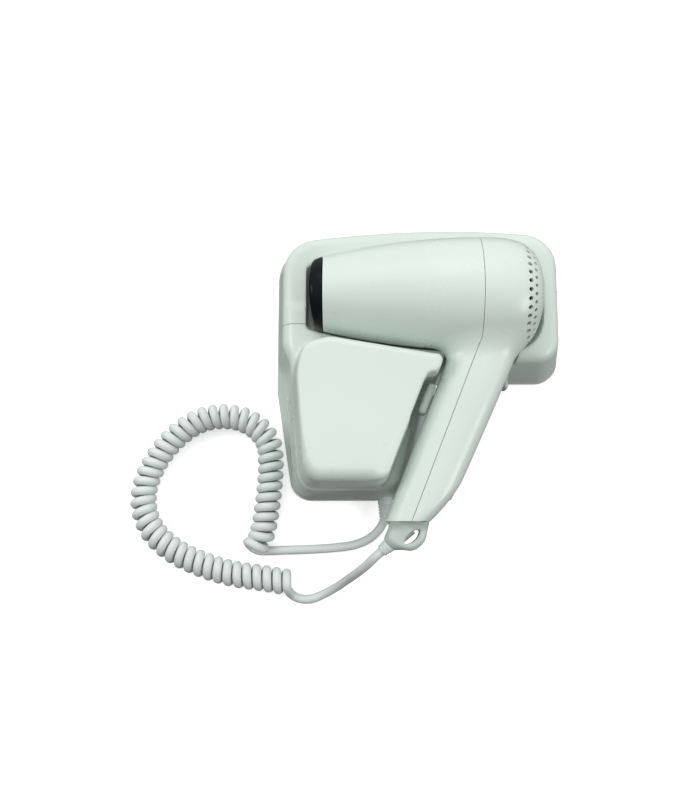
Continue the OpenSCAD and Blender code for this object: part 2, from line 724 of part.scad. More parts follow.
module handle_cap() color(white) difference() {
    union() {
        translate([0, 0, barrel_z - cap_half_t]) linear_extrude(2 * cap_half_t)
            polygon(rounded(cap_corners));
        intersection() {
            handle_solid(shell_wall + slide_gap, 40, 1);
            translate([0, handle_end_y - 2, 0]) cube([unit_w, 8, 2 * barrel_z]);
        }
    }
    angle = atan2(loop_at[1].y - loop_at[0].y, loop_at[1].x - loop_at[0].x);
    run = norm(loop_at[1] - loop_at[0]);
    translate([loop_at[0].x, loop_at[0].y, 0]) rotate(angle) {
        translate([0, -loop_slot_w / 2, 0]) cube([run, loop_slot_w, 3 * barrel_z]);
        for (x = [0, run]) translate([x, 0, 0]) cylinder(h = 3 * barrel_z, r = loop_slot_w / 2);
    }
    in_relief() translate([0, 0, -relief_in]) cylinder(h = 60, r = cord_d / 2 + 1.8);
}

module strain_relief() color(white) in_relief() difference() {
    union() {
        translate([0, 0, -relief_in + 0.5]) cylinder(h = relief_in, r = cord_d / 2 + 1.7);
        cylinder(h = relief_out, r1 = cord_d / 2 + 1.7, r2 = cord_d / 2 + 1);
    }
    translate([0, 0, -30]) cylinder(h = 60, r = cord_d / 2);
}

module shell_screws() color(steel) at_shell_screws() difference() {
    union() {
        translate([0, 0, 9]) cylinder(h = 2, r = 2.7);
        translate([0, 0, -6.5]) cylinder(h = 16, r = 1.25);
    }
    translate([-3, -0.4, 10.2]) cube([6, 0.8, 2]);
}

clip_v = 148;
module cord_clip() color(pale) in_handle() translate([1, -clip_v, 0]) difference() {
    translate([-8, -3, -7]) cube([13, 6, 14]);
    rotate([90, 0, 0]) cylinder(h = 20, r = cord_d / 2, center = true);
}

module handset_wiring() {
    for (i = [0:2]) color([amber, green, black][i]) in_handle() swept([
        [1, -clip_v + 3.2, 2.4 * (i - 1)], [2, -clip_v + 7, 2 + 2.4 * i],
        [4, -134, 6 + 2 * i], [5, -110, 5 + 2.2 * i], [5, -75, 5 + 2.2 * i],
        [4, -58, 6 + 2 * i], [2, -44, 6 + 2 * i]], wire_r, 6);
}

// ---------------------------------------------------------------- cord

// The lead from the wall unit's gland to the curled stretch
base_route = [[gland_x, -66, gland_z], [gland_x, -90, gland_z], [gland_x, -98, gland_z],
    [27, -106, 8], [19.5, -113.5, 6],
    [9, -118, 4.5], [-5, -120, 3.2], [-20, -121, 3.2], [-35, -121.5, 3.2], [-48, -122, 3.2],
    [-56, -122, 5]];
// Middle of the curled stretch, lying on the surface
coil_route = [[-60, -121], [-55, -114], [-52.5, -105], [-50.5, -92], [-49, -77],
    [-48.5, -62], [-50, -49], [-57, -39], [-69, -32], [-83, -30], [-98, -33], [-112, -42],
    [-123, -54], [-131, -68], [-135, -82], [-134, -96], [-127, -110], [-113, -122],
    [-94, -131], [-74, -137], [-54, -140], [-35, -143]];
// The lead from the curled stretch up to the handset
handset_route = [[-36, -150, 4], [-31, -154, 3.2], [-22, -154.5, 3.2], [-12, -151, 4.5],
    [-3, -146, 11], [4, -141, 22], [10, -136.5, 34], [16, -131.5, 44.5], [22, -126.8, 50.5],
    [27.6, -121.9, 52]];

module cord_base_lead() color(white) swept(base_route, cord_d / 2, 10);

module cord_coil() color(white)
    swept([for (p = coil_route) [p.x, p.y, coil_d / 2]], coil_d / 2, 12);

module cord_handset_lead() color(white) swept(handset_route, cord_d / 2, 10);

back_plate();
upper_cover();
lower_cover();
cradle_peg();
cover_screws();
supply_grommet();
terminal_block();
terminal_screws();
safety_switch();
safety_plunger();
plunger_spring();
mains_switch();
base_button();
button_collar();
base_cord_gland();
cord_clamp();
clamp_screws();
base_wiring();
front_shell();
rear_shell();
nozzle_ring();
outlet_grille();
mica_sleeve();
heater_cards();
heater_coil();
thermostat();
thermal_fuse();
fan_duct();
motor();
motor_shaft();
impeller();
inlet_filter();
switch_knob();
switch_body();
switch_plate();
circuit_board();
diodes();
handle_cap();
strain_relief();
shell_screws();
cord_clip();
handset_wiring();
cord_base_lead();
cord_coil();
cord_handset_lead();
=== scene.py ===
import json
import math

import bmesh
import bpy
import numpy as np
from mathutils import Matrix, Vector


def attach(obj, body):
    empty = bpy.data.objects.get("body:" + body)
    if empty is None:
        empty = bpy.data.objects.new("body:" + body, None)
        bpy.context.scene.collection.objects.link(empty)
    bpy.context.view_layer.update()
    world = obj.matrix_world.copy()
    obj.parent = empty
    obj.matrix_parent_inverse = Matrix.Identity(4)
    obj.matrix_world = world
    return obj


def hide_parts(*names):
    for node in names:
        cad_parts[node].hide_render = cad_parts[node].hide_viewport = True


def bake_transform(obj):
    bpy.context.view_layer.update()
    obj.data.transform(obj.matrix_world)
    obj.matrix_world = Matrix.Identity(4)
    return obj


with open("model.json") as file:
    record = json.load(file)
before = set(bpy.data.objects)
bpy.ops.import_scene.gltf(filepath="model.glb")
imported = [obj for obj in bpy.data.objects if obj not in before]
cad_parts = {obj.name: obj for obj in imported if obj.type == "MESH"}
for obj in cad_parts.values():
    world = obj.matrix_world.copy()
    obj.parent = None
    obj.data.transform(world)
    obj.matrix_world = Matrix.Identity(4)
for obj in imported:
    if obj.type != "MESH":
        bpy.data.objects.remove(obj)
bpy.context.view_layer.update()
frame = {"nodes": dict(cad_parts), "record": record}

# ------------------------------------------------------------------ camera
# The wall unit lies on its back, so the camera hangs over it and leans a little
# towards its lower edge, as a person standing in front of the mounted unit sees it.
LEAN = math.radians(9)
DISTANCE = 0.600
AIM = Vector((0.006, -0.025, 0.050))
camera_data = bpy.data.cameras.new("camera")
camera_data.sensor_width = 36
camera_data.lens = 41.5
camera_data.clip_start = 0.01
camera = bpy.data.objects.new("camera", camera_data)
camera.location = AIM + DISTANCE * Vector((0, -math.sin(LEAN), math.cos(LEAN)))
camera.rotation_euler = (LEAN, 0, 0)
bpy.context.scene.collection.objects.link(camera)
bpy.context.scene.camera = camera
bpy.context.scene.view_settings.view_transform = "Standard"

# ------------------------------------------------------------------ curly cord
# One 6 mm mains lead with a soft PVC jacket: a plain lead out of the wall unit, a
# stretch set into close curls 18 mm across, and a plain lead up into the handset.
CORD_R = 0.003
CURL_R = 0.006
CURL_TURNS = 48
POINTS_PER_CURL = 18
BASE_ROUTE = [(30, -80, 9), (30, -90, 9), (30, -98, 9), (27, -106, 8), (19.5, -113.5, 6),
              (9, -118, 4.5), (-5, -120, 3.2), (-20, -121, 3.2), (-35, -121.5, 3.2),
              (-48, -122, 3.2), (-56, -122, 3.2)]
COIL_ROUTE = [(-60, -121), (-55, -114), (-52.5, -105), (-50.5, -92), (-49, -77),
              (-48.5, -62), (-50, -49), (-57, -39), (-69, -32), (-83, -30), (-98, -33),
              (-112, -42), (-123, -54), (-131, -68), (-135, -82), (-134, -96),
              (-127, -110), (-113, -122), (-94, -131), (-74, -137), (-54, -140), (-35, -143)]
HANDSET_ROUTE = [(-34.6, -149.6, 8.6), (-33.2, -151.4, 5.2), (-30, -153.4, 3.5),
                 (-26, -154.4, 3.2), (-20, -154.2, 3.2), (-12, -151, 4.5),
                 (-3, -146, 11), (4, -141, 22), (10, -136.5, 34), (16, -131.5, 44.5),
                 (21.6, -126.0, 50.8), (27, -121.3, 52), (34, -115.6, 52)]


def metres(points, z=None):
    """Points in mm as metres, all at height z if it is given."""
    return np.array([(p[0], p[1], p[2] if z is None else z) for p in points]) / 1000


def smooth_line(points, spacing):
    """A Catmull-Rom line through the points, cut into even steps."""
    points = np.asarray(points, float)
    knots = np.r_[0, np.cumsum(np.linalg.norm(np.diff(points, axis=0), axis=1) ** 0.5)]
    slopes = np.gradient(points, knots, axis=0)
    line = []
    for i in range(len(points) - 1):
        h = knots[i + 1] - knots[i]
        for t in np.linspace(0, 1, 12, endpoint=False):
            line.append((2 * t**3 - 3 * t**2 + 1) * points[i]
                        + (t**3 - 2 * t**2 + t) * h * slopes[i]
                        + (3 * t**2 - 2 * t**3) * points[i + 1]
                        + (t**3 - t**2) * h * slopes[i + 1])
    line = np.array(line + [points[-1]])
    along = np.r_[0, np.cumsum(np.linalg.norm(np.diff(line, axis=0), axis=1))]
    even = np.linspace(0, along[-1], max(2, round(along[-1] / spacing)) + 1)
    return np.stack([np.interp(even, along, line[:, k]) for k in range(3)], axis=1)


def placed(name, mesh):
    """A new object for a mesh, linked to the scene."""
    piece = bpy.data.objects.new(name, mesh)
    bpy.context.scene.collection.objects.link(piece)
    return piece


def mesh_object(name, points, faces):
    """An object from its points (in metres) and faces, shaded smooth."""
    mesh = bpy.data.meshes.new(name)
    mesh.from_pydata([tuple(p) for p in points], [], [tuple(int(i) for i in f) for f in faces])
    mesh.polygons.foreach_set("use_smooth", [True] * len(mesh.polygons))
    mesh.update()
    return placed(name, mesh)


def as_object(name, made):
    """An object from a bmesh, which is freed."""
    mesh = bpy.data.meshes.new(name)
    made.to_mesh(mesh)
    made.free()
    return placed(name, mesh)


def facing_out(piece):
    """The piece with all its faces turned outwards."""
    made = bmesh.new()
    made.from_mesh(piece.data)
    bmesh.ops.recalc_face_normals(made, faces=made.faces[:])
    made.to_mesh(piece.data)
    made.free()
    return piece


def tube(name, line, radius, sides):
    """A closed round tube along a line, with a UV map that runs in metres along and round."""
    line = np.asarray(line, float)
    count = len(line)
    tangent = np.gradient(line, axis=0)
    tangent /= np.linalg.norm(tangent, axis=1)[:, None]
    side = np.cross(tangent[0], (0.3, 0.2, 1.0))
    points = []
    for i in range(count):
        side = side - tangent[i] * (side @ tangent[i])
        side /= np.linalg.norm(side)
        other = np.cross(tangent[i], side)
        for k in range(sides):
            a = 2 * math.pi * k / sides
            points.append(line[i] + radius * (math.cos(a) * side + math.sin(a) * other))
    faces = [tuple(range(sides - 1, -1, -1)), tuple((count - 1) * sides + k for k in range(sides))]
    for i in range(count - 1):
        for k in range(sides):
            m = (k + 1) % sides
            faces.append((i * sides + k, i * sides + m, (i + 1) * sides + m, (i + 1) * sides + k))
    piece = mesh_object(name, points, faces)
    step = np.r_[0, np.cumsum(np.linalg.norm(np.diff(line, axis=0), axis=1))]
    grid = piece.data.uv_layers.new(name="along")
    turn = 2 * math.pi * radius / sides
    for face in piece.data.polygons[2:]:
        ring, k = divmod(face.index - 2, sides)
        corners = ((ring, k), (ring, k + 1), (ring + 1, k + 1), (ring + 1, k))
        for loop, (row, column) in zip(face.loop_indices, corners):
            grid.data[loop].uv = (step[row], column * turn)
    return piece


def curls(centre, turns, radius, first, last):
    """The helix round a centreline that lies flat, from angle first to angle last."""
    tangent = np.gradient(centre, axis=0)
    tangent /= np.linalg.norm(tangent, axis=1)[:, None]
    up = np.array((0, 0, 1.0))
    side = np.cross(up, tangent)
    angle = np.linspace(first, last - 2 * math.pi * turns, len(centre))
    return centre + radius * (np.cos(angle)[:, None] * up + np.sin(angle)[:, None] * side)


def shader_group(name, inputs, outputs):
    """An empty shader node group with number inputs {name: value} and outputs {name: kind}."""
    group = bpy.data.node_groups.new(name, "ShaderNodeTree")
    for key, value in inputs.items():
        socket = group.interface.new_socket(key, in_out="INPUT", socket_type="NodeSocketFloat")
        socket.default_value = value
    for key, kind in outputs.items():
        group.interface.new_socket(key, in_out="OUTPUT", socket_type="NodeSocket" + kind)
    return group, group.nodes.new("NodeGroupInput").outputs, group.nodes.new("NodeGroupOutput").inputs


def add(tree, kind, links=None, **settings):
    """A node in a tree. links gives its inputs a value or another node's output."""
    made = tree.nodes.new(kind)
    for key, value in settings.items():
        setattr(made, key, value)
    for key, value in (links or {}).items():
        if isinstance(value, bpy.types.NodeSocket):
            tree.links.new(value, made.inputs[key])
        else:
            made.inputs[key].default_value = value
    return made


def worked(tree, operation, a, b):
    """Two numbers put through one sum, product or quotient."""
    return add(tree, "ShaderNodeMath", {0: a, 1: b}, operation=operation).outputs[0]


def mixed(tree, mask, first, second):
    """Colour first where the mask is nought and second where it is one."""
    mix = tree.nodes.new("ShaderNodeMix")
    mix.data_type = "RGBA"
    for slot, value in ((0, mask), (6, first), (7, second)):
        if isinstance(value, bpy.types.NodeSocket):
            tree.links.new(value, mix.inputs[slot])
        else:
            mix.inputs[slot].default_value = value if slot == 0 else (*value, 1)
    return mix.outputs[2]


def ranged(tree, value, low, high, start=0.0, end=1.0):
    """A value spread from start..end to low..high."""
    spread = add(tree, "ShaderNodeMapRange", {"Value": value, "From Min": start, "From Max": end,
                                              "To Min": low, "To Max": high})
    return spread.outputs[0]


# What years of hands and bathroom air leave on plastic: broad greasy smears, and fine dust
# specks in drifting clouds.
handling, handling_in, handling_out = shader_group(
    "handling", {"Smear Scale": 28.0, "Dust": 0.3},
    {"Smear": "Float", "Tint": "Float"})
place = add(handling, "ShaderNodeTexCoord").outputs["Object"]
smear = add(handling, "ShaderNodeTexNoise", {
    "Vector": place, "Scale": handling_in["Smear Scale"], "Detail": 4.0, "Roughness": 0.62,
    "Distortion": 0.7})
smear_mask = ranged(handling, smear.outputs[0], 0, 1, 0.34, 0.68)
specks = add(handling, "ShaderNodeTexNoise", {"Vector": place, "Scale": 900.0, "Detail": 2.0})
speck_mask = ranged(handling, specks.outputs[0], 0, 1, 0.60, 0.80)
drift = add(handling, "ShaderNodeTexNoise", {"Vector": place, "Scale": 11.0, "Detail": 2.0})
drifted = worked(handling, "MULTIPLY", speck_mask, handling_in["Dust"])
cloudy = ranged(handling, drift.outputs[0], 0, 0.7, 0.35, 0.65)
clouded = worked(handling, "ADD", cloudy, drifted)
handling.links.new(smear_mask, handling_out["Smear"])
handling.links.new(clouded, handling_out["Tint"])

# The fine pitted skin that a spark-cut mould leaves on plastic and rubber.
grain, grain_in, grain_out = shader_group("moulded_grain", {"Scale": 2600.0, "Waviness": 0.25},
                                          {"Height": "Float"})
place = add(grain, "ShaderNodeTexCoord").outputs["Object"]
pits = add(grain, "ShaderNodeTexNoise", {"Vector": place, "Scale": grain_in["Scale"], "Detail": 3.0})
waves = add(grain, "ShaderNodeTexNoise", {"Vector": place, "Scale": 140.0, "Detail": 1.0})
lifted = worked(grain, "MULTIPLY", waves.outputs[0], grain_in["Waviness"])
both = worked(grain, "ADD", pits.outputs[0], lifted)
grain.links.new(both, grain_out["Height"])


def finish(name, roughness=0.4, metallic=0.0, **constants):
    """A new material with one Principled shader; constants go on the shader's own sockets."""
    material = bpy.data.materials.new(name)
    material.use_nodes = True
    tree = material.node_tree
    shader = tree.nodes["Principled BSDF"]
    shader.inputs["Roughness"].default_value = roughness
    shader.inputs["Metallic"].default_value = metallic
    for key, value in constants.items():
        shader.inputs[key.replace("_", " ").title().replace("Ior", "IOR")].default_value = value
    return material, tree, shader.inputs


def grouped(tree, group, **values):
    """A shader group placed in a material with its own values."""
    made = tree.nodes.new("ShaderNodeGroup")
    made.node_tree = group
    for key, value in values.items():
        made.inputs[key.replace("_", " ").title()].default_value = value
    return made.outputs


def bumped(tree, height, strength, distance):
    """A normal that follows a height, for fine relief."""
    bump = add(tree, "ShaderNodeBump", {"Height": height, "Strength": strength,
                                        "Distance": distance})
    return bump.outputs["Normal"]


# The jacket is matt from talc and drawn lengthwise by the die that it was extruded through.
cord_jacket, tree, shader = finish("cord_jacket", sheen_weight=0.08, sheen_roughness=0.4)
marks = grouped(tree, handling, smear_scale=45.0, dust=0.5)
skin_grain = grouped(tree, grain, scale=3200.0, waviness=0.3)
run = add(tree, "ShaderNodeUVMap", uv_map="along").outputs["UV"]
stretched = add(tree, "ShaderNodeMapping", {"Vector": run, "Scale": (60.0, 2200.0, 1.0)})
die_lines = add(tree, "ShaderNodeTexNoise", {"Vector": stretched.outputs[0], "Scale": 1.0,
                                             "Detail": 2.0})
shade = mixed(tree, marks["Tint"], (0.680, 0.735, 0.715), (0.585, 0.640, 0.620))
tree.links.new(mixed(tree, ranged(tree, die_lines.outputs[0], 0, 0.25, 0.4, 0.7), shade,
                     (0.60, 0.655, 0.635)), shader["Base Color"])
tree.links.new(ranged(tree, marks["Smear"], 0.36, 0.52), shader["Roughness"])
relief = worked(tree, "ADD", skin_grain["Height"], die_lines.outputs[0])
tree.links.new(bumped(tree, relief, 0.22, 0.0001), shader["Normal"])

coil_route = metres(COIL_ROUTE, 1000 * (CURL_R + CORD_R))
coil_rough = smooth_line(coil_route, 0.002)
coil_run = float(np.linalg.norm(np.diff(coil_rough, axis=0), axis=1).sum())
coil_centre = smooth_line(coil_route, coil_run / (CURL_TURNS * POINTS_PER_CURL))
helix = curls(coil_centre, CURL_TURNS, CURL_R, math.pi, math.radians(300))
base_lead = smooth_line(np.concatenate([metres(BASE_ROUTE), helix[1:3]]), 0.002)
handset_lead = smooth_line(np.concatenate([helix[-3:-1], metres(HANDSET_ROUTE)]), 0.002)
cord_line = smooth_line(np.concatenate([base_lead, helix[3:-3], handset_lead]), 0.0016)
curly_cord = tube("curly_cord", cord_line, CORD_R, 12)
curly_cord.data.materials.append(cord_jacket)
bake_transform(curly_cord)
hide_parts("cord_base_lead", "cord_coil", "cord_handset_lead")

# ------------------------------------------------------------------ wall unit covers
# Two moulded covers in white ABS meet level with the cradle and behind the handle: the
# upper one is a drafted block with the cradle sunk into it, and the lower one carries the
# raised box over the switchgear and clips under it.
BARREL_Y, BARREL_Z = 45.5, 52.0
NOZZLE_X, RING_X, SEAM_X, DOME_X = -21.5, -11.5, 90.0, 132.0
NOZZLE_R, BARREL_R = 22.7, 37.0
LEFT, RIGHT, BOTTOM, TOP = -45.0, 152.0, -87.5, 97.5
BLOCK_DEPTH, BOX_DEPTH, PLATE = 44.0, 76.0, 3.0
COVER_SEAM, SEAM_TURN = 27.0, 84.0
UNDER_RISE = 0.125
COVER_WALL = 2.3
JOINT_GAP = 0.2
CRADLE_GAP, DOME_GAP = 1.2, 3.4
HANDLE_X, HANDLE_LEAN = 103.0, math.radians(21.5)


def soft_max(a, b, r):
    """The greater of two distances, with the edge where they meet rounded to r."""
    round_part = np.hypot(np.maximum(a + r, 0), np.maximum(b + r, 0))
    return np.minimum(np.maximum(a, b), -r) + round_part


def soft_min(a, b, r):
    return -soft_max(-a, -b, r)


def wall(x, y, z, a, b, rise):
    """Distance outside a side wall that stands on the line a to b and leans in by rise."""
    ax, ay, bx, by = *a, *b
    length = math.hypot(bx - ax, by - ay)
    nx, ny = (by - ay) / length, (ax - bx) / length
    return ((x - ax) * nx + (y - ay) * ny + rise * z) / math.hypot(1, rise)


def skin(field, low, high, step):
    """Closed quad mesh of the surface where field(x, y, z) changes sign, in metres."""
    axes = [np.arange(lo, hi + step, step) for lo, hi in zip(low, high)]
    values = field(*np.meshgrid(*axes, indexing="ij"))
    inside = values < 0
    cells = tuple(n - 1 for n in values.shape)
    total = np.zeros(cells + (3,))
    count = np.zeros(cells)
    for axis in range(3):
        others = [k for k in range(3) if k != axis]
        for da in (0, 1):
            for db in (0, 1):
                start = [0, 0, 0]
                start[others[0]], start[others[1]] = da, db
                here = tuple(slice(s, s + c) for s, c in zip(start, cells))
                start[axis] = 1
                there = tuple(slice(s, s + c) for s, c in zip(start, cells))
                crossed = inside[here] != inside[there]
                v0, v1 = values[here][crossed], values[there][crossed]
                spot = np.zeros((len(v0), 3))
                spot[:, others[0]], spot[:, others[1]] = da, db
                spot[:, axis] = v0 / (v0 - v1)
                total[crossed] += spot
                count[crossed] += 1
    used = count > 0
    number = np.full(cells, -1)
    number[used] = np.arange(used.sum())
    points = (np.argwhere(used) + total[used] / count[used][:, None]) * step + np.array(low)
    faces = []
    for axis in range(3):
        a, b = [(1, 2), (2, 0), (0, 1)][axis]
        here = [slice(1, -1)] * 3
        there = [slice(1, -1)] * 3
        here[axis], there[axis] = slice(0, -1), slice(1, None)
        first, second = inside[tuple(here)], inside[tuple(there)]
        edges = np.argwhere(first != second)
        outward = first[tuple(edges.T)]
        edges = edges + 1
        edges[:, axis] -= 1
        ring = []
        for da, db in ((1, 1), (0, 1), (0, 0), (1, 0)):
            cell = edges.copy()
            cell[:, a] -= da
            cell[:, b] -= db
            ring.append(number[tuple(cell.T)])
        ring = np.stack(ring, axis=1)
        ring[~outward] = ring[~outward][:, ::-1]
        faces.append(ring)
    faces = np.concatenate(faces)
    nudge = 0.05
    for _ in range(6):
        here = field(*points.T)
        slope = np.stack([(field(*(points + nudge * np.eye(3)[k]).T)
                           - field(*(points - nudge * np.eye(3)[k]).T)) / (2 * nudge)
                          for k in range(3)], axis=1)
        move = here[:, None] * slope / np.maximum((slope**2).sum(axis=1), 0.05)[:, None]
        reach = np.linalg.norm(move, axis=1)[:, None]
        points = points - move * np.minimum(1, 0.4 * step / np.maximum(reach, 1e-9))
    return points / 1000, faces


def barrel_radius(x):
    """The barrel's radius along its length: a swelling cone, then a dome."""
    t = np.clip((x - NOZZLE_X) / (SEAM_X - NOZZLE_X), 0, 1)
    front = NOZZLE_R - 0.4 + (BARREL_R - NOZZLE_R + 0.4) * (1 - (1 - t) ** 1.95)
    s = np.clip((x - SEAM_X) / (DOME_X + 1 - SEAM_X), 0, 1)
    return np.where(x < SEAM_X, front, BARREL_R * (1 - s**3.4) ** (1 / 2.6))


def cradle_field(x, y, z, grow):
    """Distance outside the barrel's place in the cradle, which widens towards the dome."""
    reach = np.hypot(y - BARREL_Y, z - BARREL_Z)
    far = np.clip((x - SEAM_X) / (DOME_X - SEAM_X), 0, 1)
    gap = grow + (DOME_GAP - CRADLE_GAP) * far
    side = (reach - barrel_radius(x - gap * far) - gap) * 0.9
    return soft_max(side, soft_max(x - DOME_X - gap, NOZZLE_X - 1.5 - x, 1), 3)


def handle_uv(x, y):
    """Place across and along the handle, which leans away from the nozzle."""
    dx, dy = x - HANDLE_X, y - BARREL_Y
    c, s = math.cos(HANDLE_LEAN), math.sin(HANDLE_LEAN)
    return dx * c - dy * s, -dx * s - dy * c


def block_field(x, y, z):
    """The drafted block under the cradle; its upper edge is crowned."""
    left = wall(x, y, z, (LEFT, TOP), (LEFT, -12), 0.148)
    right = wall(x, y, z, (RIGHT, -6), (RIGHT, TOP), 0.16)
    low = wall(x, y, z, (LEFT, -6), (RIGHT, -6), 0.205)
    crown = np.where(x < 75, 9 * ((75 - x) / 115) ** 2, 5 * ((x - 75) / 75) ** 2)
    top = (y - TOP + crown + 0.11 * z) * 0.98
    side = soft_max(soft_max(soft_max(left, low, 14), right, 15), top, 20)
    return soft_max(soft_max(side, z - BLOCK_DEPTH, 6), PLATE - 8 - z, 0.5)


def lower_sides(x, y, z):
    """The left and lower walls that the leg and the raised box share."""
    left = wall(x, y, z, (LEFT, 60), (LEFT, -12), 0.148)
    slanted = wall(x, y, z, (LEFT, -10), (-34, -84), 0.148)
    under = wall(x, y, z, (-34, BOTTOM), (40, BOTTOM), UNDER_RISE)
    return soft_max(soft_max(left, slanted, 20), under, 12)


def box_field(x, y, z):
    """The raised box, whose right side follows the handle and swells near its foot."""
    u, v = handle_uv(x, y)
    swell = np.clip((76 - v) / 12, 0, 1)
    right = u + 24 - 6 * swell**2 * (3 - 2 * swell) - 0.04 * (BOX_DEPTH - z)
    top = wall(x, y, z, (58.5, 11), (-13.8, 23.2), 0.13)
    corner = wall(x, y, z, (-24.4, 20.9), (-43, -0.3), 0.14)
    side = soft_max(soft_max(soft_max(lower_sides(x, y, z), right, 5), top, 5), corner, 12)
    soft_edge = 3.5 + 4 * np.clip((-50 - y) / 20, 0, 1)
    edge = 1.6 + (soft_edge - 1.6) * np.clip(-right / 10, 0, 1)
    return soft_max(soft_max(side, z - BOX_DEPTH, edge), PLATE - 8 - z, 0.5)


def leg_field(x, y, z):
    """The lower part of the unit, which stands between the box and the block."""
    right = wall(x, y, z, (47, BOTTOM), (65, -6), 0.26)
    side = soft_max(soft_max(lower_sides(x, y, z), right, 8), y - 40, 1)
    return soft_max(soft_max(side, z - BLOCK_DEPTH, 5), PLATE - 8 - z, 0.5)


def cover_field(x, y, z):
    """The outside of both covers, with the cradle, the handle's notch and the finger space."""
    solid = soft_min(soft_min(block_field(x, y, z), leg_field(x, y, z), 5),
                     box_field(x, y, z), 3)
    solid = soft_max(solid, -cradle_field(x, y, z, CRADLE_GAP), 1.2)
    u, v = handle_uv(x, y)
    neck = soft_max(soft_max(soft_max(-17 - u, u - 28, 3), 34.5 - z, 2), np.abs(v - 35) - 30, 2)
    solid = soft_max(solid, -neck, 1)
    finger = soft_max(soft_max(-24 - u, np.abs(v - 86) - 17, 4), 30 - z, 4)
    return soft_max(solid, -finger, 1.5)


def open_skin(points, faces, cuts, keep):
    """A skin cut along planes, with the faces that keep(x, y, z) refuses taken away."""
    made = bmesh.new()
    verts = [made.verts.new(p) for p in points]
    for face in faces:
        made.faces.new([verts[i] for i in face])
    for spot, normal in cuts:
        bmesh.ops.bisect_plane(made, geom=made.verts[:] + made.edges[:] + made.faces[:],
                               plane_co=Vector(spot) / 1000, plane_no=Vector(normal), dist=1e-6)
    drop = [face for face in made.faces if not keep(*(face.calc_center_median() * 1000))]
    bmesh.ops.delete(made, geom=drop, context="FACES")
    return made


def applied(piece):
    """The piece with its modifiers worked into its mesh."""
    shape = piece.evaluated_get(bpy.context.evaluated_depsgraph_get())
    mesh = bpy.data.meshes.new_from_object(shape)
    piece.modifiers.clear()
    piece.data = mesh
    return piece


def shell_object(name, made, thickness):
    """Object from an open skin, thickened inwards."""
    bmesh.ops.recalc_face_normals(made, faces=made.faces[:])
    piece = as_object(name, made)
    solid = piece.modifiers.new("wall", "SOLIDIFY")
    solid.thickness = thickness / 1000
    solid.offset = -1
    solid.use_even_offset = True
    return applied(piece)


def round_bar(start, end, radius, sides=24):
    """Points (mm) and faces of a closed round bar."""
    start, end = Vector(start), Vector(end)
    along = (end - start).normalized()
    side = along.orthogonal().normalized()
    other = along.cross(side)
    points = [spot + radius * (math.cos(a) * side + math.sin(a) * other)
              for spot in (start, end)
              for a in (2 * math.pi * k / sides for k in range(sides))]
    faces = [tuple(range(sides - 1, -1, -1)), tuple(range(sides, 2 * sides))]
    faces += [(k, (k + 1) % sides, sides + (k + 1) % sides, sides + k) for k in range(sides)]
    return points, faces


def drilled(piece, shapes, tools=()):
    """The piece with round bars and other closed cutters taken out of it."""
    tools = list(tools)
    for points, faces in shapes:
        tools.append(mesh_object("cutter", [Vector(p) / 1000 for p in points], faces))
    for tool in tools:
        cut = piece.modifiers.new("cut", "BOOLEAN")
        cut.operation = "DIFFERENCE"
        cut.solver = "MANIFOLD"
        cut.object = tool
    applied(piece)
    for tool in tools:
        bpy.data.objects.remove(tool)
    return piece


def smoothed(piece, degrees=40):
    """Smooth shading, but for the creases sharper than this angle."""
    piece.data.polygons.foreach_set("use_smooth", [True] * len(piece.data.polygons))
    piece.data.set_sharp_from_angle(angle=math.radians(degrees))
    return piece


def moulded(name, colour, grimed, low, high, pitted=2600.0, depth=0.12, dust=0.35):
    """Moulded plastic: its colour, the colour where it is grimed, and its range of gloss."""
    material, tree, shader = finish(name)
    marks = grouped(tree, handling, smear_scale=26.0, dust=dust)
    pits = grouped(tree, grain, scale=pitted, waviness=0.15)
    tree.links.new(mixed(tree, marks["Tint"], colour, grimed), shader["Base Color"])
    tree.links.new(ranged(tree, marks["Smear"], low, high), shader["Roughness"])
    tree.links.new(bumped(tree, pits["Height"], depth, 0.00008), shader["Normal"])
    return material


def fitted(piece, material, body, slot, *nodes):
    """Gives a piece its finish, the body it rides on and the CAD nodes it stands for."""
    piece.data.materials.clear()
    piece.data.materials.append(material)
    if nodes:
        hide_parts(*nodes)
    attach(piece, body)
    return piece


white_shell = moulded("white_shell", (0.665, 0.750, 0.690), (0.615, 0.700, 0.645), 0.26, 0.38)
# white_part is the same white ABS as white_shell with a darker base colour: painted shade for the
# small white parts (knob, end cap, button, collar, peg, back plate), which sit inclined or in shade.
white_part = moulded("white_part", (0.520, 0.590, 0.550), (0.470, 0.540, 0.500), 0.32, 0.46,
                     pitted=3000.0, depth=0.2)

SCREW_X, SCREW_Y, SCREW_Z = (20, 100), 90.5, 14
PLUNGER_X = 60
GLAND_X, GLAND_Z, GLAND_R = 30, 9, 5
UNDER_TILT = math.atan(UNDER_RISE)
UNDER = Vector((0, -math.cos(UNDER_TILT), math.sin(UNDER_TILT)))
BUTTON = Vector((14, BOTTOM + 12 * math.tan(UNDER_TILT), 12))
COLLAR_R = 5.7

cover_points, cover_faces = skin(cover_field, (-52, -96, -4), (160, 106, 84), 1.4)
covers = []
for name, side in (("upper_cover_shell", 1), ("lower_cover_shell", -1)):
    seam, turn = COVER_SEAM + side * JOINT_GAP, SEAM_TURN + side * JOINT_GAP
    made = open_skin(
        cover_points, cover_faces,
        [((0, seam, 0), (0, 1, 0)), ((turn, 0, 0), (1, 0, 0)), ((0, 0, PLATE + 0.15), (0, 0, 1))],
        lambda x, y, z: z > PLATE + 0.15 and ((y > seam or x > turn) == (side > 0)))
    covers.append(shell_object(name, made, COVER_WALL))
upper_shell, lower_shell = covers
drilled(upper_shell, [round_bar((x, SCREW_Y - 8, SCREW_Z), (x, TOP + 10, SCREW_Z), 4.1)
                      for x in SCREW_X]
        + [round_bar((PLUNGER_X, BARREL_Y, 5), (PLUNGER_X, BARREL_Y, 40), 2.5)])
